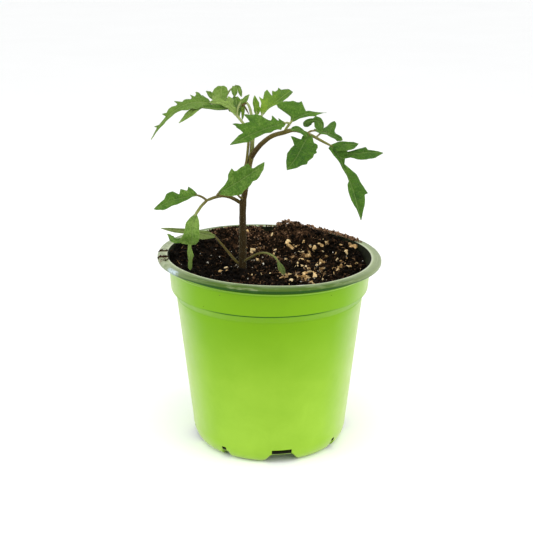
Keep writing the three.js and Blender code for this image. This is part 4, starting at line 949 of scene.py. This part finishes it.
LEAF_UPPER_RIGHT = [
    stalk((-9.5, 4.4, 180.5, -7.8, 5.5, 184, -5.8, 5.5, 189, -4.2, 5, 192.7), (0.95, 0.7), 0.95),
    stalk((-6.6, 5.5, 187, -7.8, 4, 190.5, -7.5, 2.5, 193.6), (0.6, 0.5), 0.95),
    blade((-4.2, 5, 192.7, -1, 10, 195.3, 3.2, 16, 197.7, 7.9, 22, 200.5, 12.4, 28, 202.9), (-0.2, -0.75,
          0.6),
          (0, 1, 5, 2.6, 19, 5.2, 22.5, 7, 27, 10.4, 28.5, 7, 36, 9, 42, 11, 49, 11, 49.3, 7.2, 49.7, 4.8, 55,
          8.2, 60, 6.2, 67, 6.6, 71.5, 8, 76, 5.2, 88, 3.4, 95, 2.4),
          (0, 1, 11, 0.8, 25, 0.8, 34, 1.6, 42, 3, 50, 3.6, 58, 3.6, 69, 3.6, 82, 3.4, 93, 2.4), (80, 45),
          (0.45, 0.45, 0.15, -0.05, -0.15)),
    blade((-7, 2.5, 192.8, -7.8, 2.5, 196.8, -8.3, 3, 200.2, -8.4, 3.5, 203.4), (0.1, -0.9, 0.3),
          (0, 1, 20, 1.7, 30, 1.3, 54, 1.7, 81, 1.1),
          (0, 1.2, 14, 3, 30, 2.6, 46, 3, 74, 1.7), (70, 40), 0.3),
]

COTYLEDON_LEFT = [
    stalk((-16.5, 4, 104.5, -19.8, 5.2, 106.2, -26.9, 12, 112.6, -32.5, 18, 117.5), (0.8, 0.55), 0.42),
    blade((-32.5, 18, 117.5, -37.9, 17, 119.1, -45.2, 15, 121, -54.1, 12.5, 122.7, -63.8, 10, 124.8), (0.1,
          -0.8, 0.6),
          (0, 0.9, 11, 2.9, 21, 4.3, 41, 2.8, 57, 1.8, 72, 1.9, 87, 1.3),
          (0, 0.9, 13, 2.2, 24, 2, 42, 2.1, 57, 1.8, 77, 1.4, 90, 0.8), (80, 60)),
]

COTYLEDON_RIGHT = [
    stalk((-16.5, 4, 105.5, -13.8, 2, 107.8, -6.7, -2, 112.7, -2, -5, 114.1, 2.6, -7, 112.6, 4.8, -8, 110.3),
          (0.75, 0.55), (0.4, 0.55, 0.8)),
    blade((4.8, -8, 110.3, 6, -8.5, 108.2, 7.1, -9, 105.6, 8.5, -9, 102.4), (-0.3, -0.9, 0.3),
          (0, 0.7, 15, 0.8, 35, 1.8, 55, 2.2, 80, 1.6),
          (0, 0.7, 20, 1.6, 45, 2.2, 60, 1.8, 85, 1.2), (80, 50)),
]

STEM_PATH = np.reshape((
    -16.4, 4, 72, -16, 4, 100, -15.7, 4, 113, -15.6, 4, 130, -15.4, 4, 141, -14.3, 4, 148, -12.5, 4, 158,
    -10.8, 4, 167, -10, 4, 174, -9.8, 4, 184, -10.3, 4.3, 192.5, -11.6, 5, 197.5, -13.2, 5.6, 199.4,
), (-1, 3))

GROWING_TIP = [
    stalk((-13.2, 5.6, 199.4, -14.6, 6, 198.8, -15.4, 6, 197.2), (1.1, 1.2)),
    stalk((-14.8, 6, 198, -13.4, 6.4, 195.8, -12.4, 7, 193.8), (0.5, 0.4)),
    blade((-15.3, 5.9, 198.2, -15, 5, 194.8, -15.4, 4.9, 189.9), (0.2, -0.95, 0),
          (0, 0.8, 30, 1.2, 60, 0.9, 85, 0.6),
          (0, 0.8, 25, 1.3, 50, 1.1, 85, 0.6), (80, 60), 0.3),
    blade((-14.4, 6.2, 198.8, -13, 7.2, 200.8, -11.9, 8, 202.4), (0.1, -0.8, 0.6),
          (0, 0.7, 40, 1.2, 80, 0.7),
          (0, 0.7, 40, 1, 80, 0.6), (75, 50)),
    blade((-15.2, 6.2, 198.4, -17, 7, 200, -18.3, 7.5, 202.4), (0, -0.8, 0.6),
          (0, 0.7, 40, 1.2, 80, 0.7),
          (0, 0.7, 40, 1.2, 80, 0.7), (75, 50)),
]

SIDE_SHOOT = [
    stalk((-15.2, 3.6, 144.4, -16.8, 1.2, 145.6, -18.6, -0.4, 148), (0.75, 0.5)),
]


def paint(red, green, blue):
    """A shader's colour from display values of 0 to 255."""
    display = np.array([red, green, blue]) / 255
    linear = np.where(display <= 0.04045, display / 12.92, ((display + 0.055) / 1.055) ** 2.4)
    return (*linear, 1)


class Value:
    """What a node puts out, in its tree; +, - and * with it, or with a number, place Math nodes."""

    def __init__(self, tree, socket):
        self.tree, self.socket = tree, socket

    def math(self, operation, *others):
        """The result of a Math node on this value and others."""
        return place(self.tree, "ShaderNodeMath", enumerate((self, *others)), operation=operation)[0]

    def __add__(self, other):
        return self.math("ADD", other)

    def __sub__(self, other):
        return self.math("SUBTRACT", other)

    def __mul__(self, other):
        return self.math("MULTIPLY", other)


def place(tree, kind, sockets=(), **settings):
    """A node of a kind with its settings, as the Values it puts out by name and by number.

    Each named or numbered socket gets a number, a colour or another node's Value.
    """
    node = tree.nodes.new(kind)
    for label, value in settings.items():
        setattr(node, label, value)
    for label, value in dict(sockets).items():
        if isinstance(value, Value):
            tree.links.new(value.socket, node.inputs[label])
        else:
            node.inputs[label].default_value = value
    return {key: Value(tree, socket) for number, socket in enumerate(node.outputs)
            for key in (number, socket.name)}


def fade(value, low, high, start=0, end=1):
    """A value taken smoothly from start to end as it goes from low to high."""
    sockets = {"Value": value, "From Min": low, "From Max": high, "To Min": start, "To Max": end}
    return place(value.tree, "ShaderNodeMapRange", sockets, interpolation_type="SMOOTHSTEP")[0]


def ramp(factor, *stops):
    """Colour ramp through stops of place and display colour."""
    colour = place(factor.tree, "ShaderNodeValToRGB", {"Fac": factor})["Color"]
    elements = colour.socket.node.color_ramp.elements
    for _ in stops[2:]:
        elements.new(0.5)
    for element, (position, display) in zip(elements, stops):
        element.position, element.color = position, paint(*display)
    return colour


def mixed(factor, *colours):
    """Two colours mixed, each a Value or a display colour."""
    first, second = (colour if isinstance(colour, Value) else paint(*colour) for colour in colours)
    return place(factor.tree, "ShaderNodeMix", {0: factor, 6: first, 7: second}, data_type="RGBA")[2]


def covered(colour, *layers):
    """A colour with others laid over it in turn, each layer a mask and a colour."""
    for mask, over in layers:
        colour = mixed(mask, colour, over)
    return colour


def attribute(tree, name, output="Fac"):
    """A value that the mesh carries."""
    return place(tree, "ShaderNodeAttribute", attribute_name=name)[output]


def noise(vector, scale, detail=2, roughness=0.5, distortion=0):
    """Noise at a vector times a scale."""
    sockets = {"Vector": vector, "Scale": scale, "Detail": detail, "Roughness": roughness,
               "Distortion": distortion}
    return place(vector.tree, "ShaderNodeTexNoise", sockets)["Fac"]


def split(vector):
    """The three parts of a vector."""
    parts = place(vector.tree, "ShaderNodeSeparateXYZ", {0: vector})
    return parts[0], parts[1], parts[2]


def new_group(name, vectors, numbers, results):
    """A node group with named vector and number inputs and number outputs, and the Values that it is given."""
    tree = bpy.data.node_groups.new(name, "ShaderNodeTree")
    for labels, side, kind in ((vectors, "INPUT", "NodeSocketVector"), (numbers, "INPUT", "NodeSocketFloat"),
                               (results, "OUTPUT", "NodeSocketFloat")):
        for label in labels:
            tree.interface.new_socket(label, in_out=side, socket_type=kind)
    return tree, place(tree, "NodeGroupInput")


def mottle_group():
    """Uneven patches of one size with finer ones in them, as a value from 0 to 1."""
    tree, given = new_group("Mottle", ["Vector"], ["Patches per metre", "Contrast"], ["Value"])
    apart = (noise(given["Vector"], given["Patches per metre"], 5, 0.6, 0.4) - 0.5) * given["Contrast"]
    place(tree, "NodeGroupOutput", {"Value": place(tree, "ShaderNodeClamp", {"Value": apart + 0.5})[0]})
    return tree


def fuzz_group():
    """Specks of fine pale down, as a mask from 0 to 0.1: more of them the lower the least height of noise."""
    tree, given = new_group("Fuzz", ["Vector"], ["Specks per metre", "Least height"], ["Mask"])
    least = given["Least height"]
    mask = fade(noise(given["Vector"], given["Specks per metre"]), least, least + 0.145, 0, 0.1)
    place(tree, "NodeGroupOutput", {"Mask": mask})
    return tree


def vein_group():
    """Leaf veins from the leaflet's own coordinates: side veins where the count is whole, midrib and net.

    Coverage goes from 0 to 1 over the large veins and over the net, and the height sinks along both.
    """
    tree, given = new_group("Leaf veins", ["Veins", "Lamina"], ["Width"], ["Large", "Net", "Height"])
    count, off, across = split(given["Veins"])
    lamina = given["Lamina"]
    wavy = count + (noise(lamina, 0.5) - 0.5) * 0.16
    apart = wavy.math("PINGPONG", 0.5) * 4
    side = fade(apart.math("DIVIDE", given["Width"] * fade(off, 0, 1, 1, 0.3)), 0.35, 1.2, 1, 0)
    midrib = fade(across.math("ABSOLUTE"), 0.14, 0.5, 1, 0)
    large = (side * 0.5).math("MAXIMUM", midrib)
    bent = place(tree, "ShaderNodeTexNoise", {"Vector": lamina, "Scale": 0.9, "Detail": 1})["Color"]
    moved = place(tree, "ShaderNodeVectorMath", {0: lamina, 1: bent}, operation="ADD")[0]
    coarse, fine = (
        fade(place(tree, "ShaderNodeTexVoronoi", {"Vector": moved, "Scale": scale},
                   feature="DISTANCE_TO_EDGE")["Distance"], 0, thickness, 1, 0)
        for scale, thickness in ((0.42, 0.055), (1.05, 0.07)))
    net = coarse.math("MAXIMUM", fine * 0.55)
    height = side.math("MAXIMUM", midrib) * -1 + net * -0.45 + noise(lamina, 2.6, 3) * 0.7
    place(tree, "NodeGroupOutput", {"Large": large, "Net": net, "Height": height})
    return tree


MOTTLE = mottle_group()
FUZZ = fuzz_group()
VEINS = vein_group()


def mottle(vector, per_metre, contrast=2.5):
    """The mottle group's value in a material."""
    sockets = {"Vector": vector, "Patches per metre": per_metre, "Contrast": contrast}
    return place(vector.tree, "ShaderNodeGroup", sockets, node_tree=MOTTLE)[0]


def fuzz(vector, per_metre, least):
    """The fuzz group's mask in a material."""
    sockets = {"Vector": vector, "Specks per metre": per_metre, "Least height": least}
    return place(vector.tree, "ShaderNodeGroup", sockets, node_tree=FUZZ)[0]


def new_material(name, **constants):
    """A material, its Principled shader with constants set, and the object's own coordinates."""
    material = bpy.data.materials.new(name)
    material.use_nodes = True
    shader = material.node_tree.nodes["Principled BSDF"]
    for label, value in constants.items():
        value = paint(*value) if isinstance(value, tuple) else value
        shader.inputs[label.replace("_", " ")].default_value = value
    return material, shader, place(material.node_tree, "ShaderNodeTexCoord")["Object"]


def link(shader, **values):
    """Links each named Value to the shader's input."""
    for label, value in values.items():
        value.tree.links.new(value.socket, shader.inputs[label.replace("_", " ")])


def bump(height, distance, strength):
    """A normal from a height, through a Bump node."""
    sockets = {"Height": height, "Distance": distance, "Strength": strength}
    return place(height.tree, "ShaderNodeBump", sockets)[0]


def near(here, centre, reach):
    """A mask that is 0.9 within 0.3 of a reach of a place, and fades out by that reach; in mm."""
    centre = [part * MM for part in centre]
    apart = place(here.tree, "ShaderNodeVectorMath", {0: here, 1: centre}, operation="DISTANCE")["Value"]
    return fade(apart, reach * 0.3 * MM, reach * MM, 0.9, 0)


def band(value, start, end, soft, strength=1):
    """A mask that is full between two heights in millimetres, soft at both."""
    rising = fade(value, (start - soft) * MM, start * MM)
    return rising * fade(value, end * MM, (end + soft) * MM, strength, 0)


def pot_material():
    """Moulded lime plastic, uneven in tone, with painted light: paler at its base, darker at its top, and paler
    where it turns away, a painted reflection; painted shade on the step and in the base's channels.

    On the fine moulded lines, light and shade are painted by height: painted shade along the collar's foot, a
    painted highlight on the ridge above it with painted shade under that, and the painted shade in which the
    lip stands. They fade towards the sides, where the height is the pot's own before its skew. The rim is
    olive, painted lighter on its inner top, darker on its outer face and paler at both sides, as painted
    light; it has streaks round it, is worn and stained at the left, with two painted glints and a thin coat.
    The inside is painted near black, as painted shade within the pot.
    """
    material, shader, here = new_material("Lime pot plastic", Specular_IOR_Level=0.14, Coat_Roughness=0.2)
    tree = here.tree
    x, y, height = split(here)
    aside = x.math("ABSOLUTE")
    flat = place(tree, "ShaderNodeCombineXYZ", {0: x, 1: y})[0]
    radius = place(tree, "ShaderNodeVectorMath", {0: flat}, operation="LENGTH")["Value"]
    level = height + x * RIM_SKEW
    inside = attribute(tree, "inside")
    outside = fade(inside, 0.02, 0.2, 1, 0)
    foot, ring = COLLAR[0][1], STACKING_RING["height"]
    rim_inside, rim_outside = 0.0598, 0.0632

    step = band(height, BODY_TOP[1] - 0.4, foot + 0.2, 0.5)
    edge_on = place(tree, "ShaderNodeLayerWeight", {"Blend": 0.5})["Facing"]
    centre = fade(aside, 0.022, 0.042, 1, 0)
    lime = covered(
        # painted light: paler towards the base, darker towards the top
        ramp(fade(height, 0, 0.105), (0, (152, 192, 58)), (0.45, (140, 181, 46)), (0.9, (113, 160, 8))),
        (mottle(here, 45) * 0.3, (104, 152, 2)),
        # painted reflection: paler where the surface turns away from view, less so on the step
        (fade(edge_on, 0.34, 1, 0, 0.48) * fade(step, 0, 1, 1, 0.25), (204, 208, 168)),
        # painted shade on the step under the collar
        (step * 0.3, (100, 146, 10)),
        # painted shade in the base's channels
        (fade(attribute(tree, "recess"), 0, 1, 0, 0.7), (52, 96, 0)),
        # painted shade along the crease at the collar's foot, strongest at the front
        (band(height, foot - 0.1, foot + 0.25, 0.35) * centre, (28, 84, 0)),
        # painted highlight along the stacking ring
        (band(level, ring - 0.1, ring + 0.1, 0.25, 0.4), (176, 214, 110)),
        # painted shade just under the stacking ring, strongest at the front
        (band(level, ring - 1, ring - 0.5, 0.3, 0.35) * centre, (70, 124, 0)))

    inner_edge = fade(radius, 0.0594, 0.061, 0.8, 0)
    outer_edge = fade(radius, rim_outside, 0.0642) * fade(mottle(here, 700), 0.1, 0.6, 0.2, 0.8)
    around = place(tree, "ShaderNodeCombineXYZ", {0: radius, 1: x * 0.06, 2: y * 0.06})[0]
    streaks = mottle(around, 1700, 3)
    worn = fade(x, -0.066, -0.045, 1, 0) * fade(mottle(here, 420), 0.2, 0.8)
    grime = fade(mottle(here, 600), 0.1, 0.7)
    olive = covered(
        # painted light: the rim's inner top lighter, its outer face darker
        mixed(fade(radius, rim_inside, rim_outside), (124, 144, 80), (66, 94, 18)),
        (mottle(here, 90) * 0.3, (56, 80, 16)),
        # painted highlight along the rim's inner edge
        (inner_edge, (208, 216, 186)),
        (fade(streaks, 0.55, 1, 0, 0.3), (176, 186, 144)),
        (fade(streaks, 0, 0.4, 0.3, 0), (58, 78, 26)),
        (worn * 0.6, (196, 200, 174)),
        # painted light: the rim paler at both sides
        (fade(aside, 0.03, 0.066, 0, 0.5), (160, 168, 134)),
        *[(near(here, *stain) * grime, (98, 84, 56)) for stain in RIM_STAINS],
        # painted highlights: two glints, along the inner and the outer edge
        (near(here, *RIM_GLINTS[0]) * inner_edge, (255, 255, 250)),
        (near(here, *RIM_GLINTS[1]) * outer_edge, (192, 208, 220)))
    # the inside painted near black: painted shade within the pot
    olive = mixed(outside, mixed(mottle(here, 260, 3), (10, 11, 3), (32, 38, 12)), olive)
    on_rim = fade(attribute(tree, "olive"), 0.02, 0.2)
    shade = band(level, ring + 0.55, LIP["bottom"] + 0.75, 0.25, 0.92) * fade(aside, 0.03, 0.06, 1, 0.3)
    link(shader,
         Base_Color=mixed(shade * outside, mixed(on_rim, lime, olive), (18, 66, 0)),
         Coat_Weight=on_rim * outside * (shade * -1 + 1) * 0.16,
         Roughness=fade(mottle(here, 130), 0, 1, 0.34, 0.48) + inside * 0.45,
         Normal=bump(noise(here, 2200, 3), 0.00005, 0.25))
    return material


def grain_material(name, per_metre, distance, roughness, *stops, specular=0.1):
    """Soil, mineral, perlite or bark: each grain's colour from its tone, mottled inside, and a rough bump."""
    material, shader, here = new_material(name, Roughness=roughness, Specular_IOR_Level=specular)
    tone = attribute(here.tree, "tone") + (mottle(here, per_metre, 3) - 0.5) * 0.5
    link(shader, Base_Color=ramp(tone, *stops), Normal=bump(noise(here, per_metre * 2, 4), distance, 0.7))
    return material


def skin_material():
    """Stem and stalks: brown through olive to pale green from the mesh, streaked lengthways, with pale fuzz."""
    material, shader, here = new_material(
        "Stem skin", Roughness=0.6, Specular_IOR_Level=0.1, Sheen_Weight=0.06, Sheen_Tint=(225, 225, 200))
    skin = attribute(here.tree, "skin", "Vector")
    scaled = place(here.tree, "ShaderNodeMapping", {"Vector": skin, "Scale": (2.2, 2.2, 0.35)})[0]
    streak = noise(scaled, 1.6, 4, 0.6)
    colour = ramp(attribute(here.tree, "green") + (streak - 0.5) * 0.45, (0, (40, 28, 6)), (0.25, (66, 50, 14)),
                  (0.5, (92, 82, 32)), (0.75, (122, 130, 68)), (1, (156, 168, 108)))
    link(shader, Base_Color=mixed(fuzz(here, 5200, 0.56), colour, (178, 176, 150)),
         Normal=bump(streak + noise(here, 3500), 0.0001, 0.6))
    return material


def leaf_material(name, dark, middle, pale, underside, vein, net=0.1, roughness=0.55):
    """Leaf: its tone from the leaflet and slow patches, paler veins and underside, a fine net and pale fuzz."""
    material, shader, here = new_material(
        name, Roughness=roughness, Specular_IOR_Level=0.15, Sheen_Weight=0.03, Sheen_Tint=(225, 235, 205))
    tree = here.tree
    veins = attribute(tree, "veins", "Vector")
    sockets = {"Veins": veins, "Lamina": attribute(tree, "lamina", "Vector"), "Width": 0.24}
    pattern = place(tree, "ShaderNodeGroup", sockets, node_tree=VEINS)
    fine = (mottle(here, 1100, 3) - 0.5) * 0.4
    tone = attribute(tree, "tone") + (mottle(here, 160, 2.2) * 0.5 + fine)
    colour = covered(
        ramp(tone, (0, dark), (0.5, middle), (1, pale)),
        (fade(split(veins)[1], 0.86, 1, 0, 0.12), pale),
        (pattern["Net"] * net, pale),
        (pattern["Large"] * 0.28, vein),
        (fade(attribute(tree, "under"), 0.3, 0.7), mixed(pattern["Large"] * 0.5, underside, vein)),
        (fuzz(here, 4200, 0.57), (176, 190, 150)))
    link(shader, Base_Color=colour, Normal=bump(pattern["Height"], 0.0004, 0.8))
    return material


def hair_material():
    """Fine hairs, from grey green to nearly white by their tone."""
    material, shader, here = new_material("Plant hairs", Roughness=0.6)
    link(shader, Base_Color=ramp(attribute(here.tree, "tone"), (0, (120, 124, 86)), (1, (206, 210, 180))))
    return material


SKIN = skin_material()
HAIR = hair_material()
LEAF = leaf_material("Grown leaf", (35, 76, 5), (68, 107, 17), (124, 153, 70), (112, 136, 78), (132, 158, 88))
YOUNG_LEAF = leaf_material(
    "Young leaf", (64, 100, 22), (94, 126, 40), (136, 160, 82), (132, 154, 88), (160, 182, 104), net=0.34)
FRESH_LEAF = leaf_material(
    "Fresh leaf", (56, 94, 20), (86, 122, 26), (122, 154, 32), (132, 154, 88), (158, 184, 92), net=0.2)
SEED_LEAF = leaf_material(
    "Seed leaf", (96, 116, 46), (122, 140, 76), (160, 172, 120), (140, 152, 100), (156, 166, 112),
    roughness=0.6)
SOIL = grain_material(
    "Potting soil", 900, 0.0006, 0.95, (0, (5, 2, 0)), (0.35, (12, 7, 1)), (0.6, (34, 21, 8)),
    (0.8, (78, 55, 36)), (1, (142, 112, 86)))
CHIP = grain_material(
    "Mineral chips", 700, 0.0003, 0.5, (0, (74, 50, 24)), (0.25, (150, 114, 64)), (0.55, (208, 172, 112)),
    (1, (236, 212, 160)), specular=0.4)
PERLITE = grain_material(
    "White grains", 1500, 0.0003, 0.8, (0, (150, 142, 124)), (0.5, (192, 186, 170)), (1, (226, 224, 212)))
BARK = grain_material(
    "Bark fibres", 800, 0.0002, 0.8, (0, (48, 32, 20)), (0.5, (92, 66, 42)), (1, (150, 118, 82)))


def make_leaf(name, parts, leaf, seed, hair_length=0.5):
    """One leaf of the plant: its blades, its stalks and its hairs, in the place of its CAD node."""
    random = np.random.default_rng(seed)
    blades = [blade_surface(part, number) for number, part in enumerate(parts) if "rib" in part]
    stalks = [part for part in parts if "path" in part]
    if blades:
        make_piece(name + "_blades", joined(blades), leaf, [name])
    down = [blade_hairs(random, surface, longest=hair_length) for surface in blades]
    tubes = [tube_surface(part["path"], part["radii"], part["green"], sides=12, tip=0.5) for part in stalks]
    make_piece(name + "_stalks", joined(tubes), SKIN, [name])
    down += [tube_hairs(random, part["path"], part["radii"], 22, hair_length * 1.6) for part in stalks]
    make_piece(name + "_hairs", joined(down), HAIR)


def make_stem():
    """The main stem, swollen where leaves join it, with its hairs."""
    surface = tube_surface(
        STEM_PATH, STEM_RADII, STEM_GREEN, sides=28, step=0.5, rough=0.07, collars=STEM_JOINTS)
    make_piece("stem_skin", surface, SKIN, ["main_stem"])
    above_soil = STEM_PATH[STEM_PATH[:, 2] > 99]
    down = tube_hairs(np.random.default_rng(3), above_soil, STEM_RADII[1:], 24, 0.9)
    make_piece("stem_hairs", down, HAIR)


make_pot(pot_material())
make_soil_bed(SOIL)
make_soil_grains(SOIL, CHIP, PERLITE, BARK)
make_rim_dirt(SOIL)
make_stem()
make_leaf("leaf_lower_left", LEAF_LOWER_LEFT, LEAF, 11)
make_leaf("leaf_right", LEAF_RIGHT, LEAF, 12)
make_leaf("leaf_upper_left", LEAF_UPPER_LEFT, YOUNG_LEAF, 13)
make_leaf("leaf_upper_right", LEAF_UPPER_RIGHT, FRESH_LEAF, 14)
make_leaf("growing_tip", GROWING_TIP, FRESH_LEAF, 15, 0.7)
make_leaf("side_shoot", SIDE_SHOOT, YOUNG_LEAF, 16, 0.7)
make_leaf("cotyledon_left", COTYLEDON_LEFT, SEED_LEAF, 17, 0.3)
make_leaf("cotyledon_right", COTYLEDON_RIGHT, SEED_LEAF, 18, 0.3)


def make_floor():
    """A plain pale floor, faintly uneven in tone, just under the pot."""
    material, shader, here = new_material("Pale floor", Roughness=0.75)
    link(shader, Base_Color=mixed(mottle(here, 3), (253, 253, 252), (255, 255, 254)))
    mesh = bpy.data.meshes.new("floor")
    reach = 20
    corners = [(x * reach, y * reach, -0.2 * MM) for x, y in ((-1, -1), (1, -1), (1, 1), (-1, 1))]
    mesh.from_pydata(corners, [], [(0, 1, 2, 3)])
    mesh.materials.append(material)
    floor = bpy.data.objects.new("floor", mesh)
    bpy.context.scene.collection.objects.link(floor)


def make_light(name, place_at, aim, size, watts, colour):
    """A square soft light that points from one place at another."""
    lamp = bpy.data.lights.new(name, "AREA")
    lamp.size, lamp.energy, lamp.color = size, watts, colour
    light = bpy.data.objects.new(name, lamp)
    light.location = place_at
    light.rotation_euler = (Vector(aim) - Vector(place_at)).to_track_quat("-Z", "Y").to_euler()
    bpy.context.scene.collection.objects.link(light)


def make_studio():
    """Camera at the photograph's angle, a bright plain surround, and soft lights left, right and above."""
    scene = bpy.context.scene
    tilt, roll = 17.58, 0.18
    lens = bpy.data.cameras.new("camera")
    lens.lens, lens.sensor_width = 67.37, 36
    camera = bpy.data.objects.new("camera", lens)
    camera.location = (0, -0.5567, 0.2808)
    camera.rotation_euler = np.radians((90 - tilt, 0, roll))
    scene.collection.objects.link(camera)
    scene.camera = camera
    world = bpy.data.worlds.new("Pale surround")
    world.use_nodes = True
    background = world.node_tree.nodes["Background"].inputs
    background["Color"].default_value, background["Strength"].default_value = paint(253, 254, 255), 1
    scene.world = world
    scene.view_settings.view_transform = "Standard"
    make_light("left softbox", (-0.75, -0.25, 0.45), (0, 0, 0.1), 0.5, 2.4, (0.93, 0.96, 1))
    make_light("right softbox", (0.75, -0.25, 0.4), (0, 0, 0.1), 0.6, 3, (1, 0.98, 0.94))
    make_light("top softbox", (0.05, -0.25, 0.95), (0, 0, 0.12), 0.5, 2, (1, 0.99, 0.96))


make_floor()
make_studio()
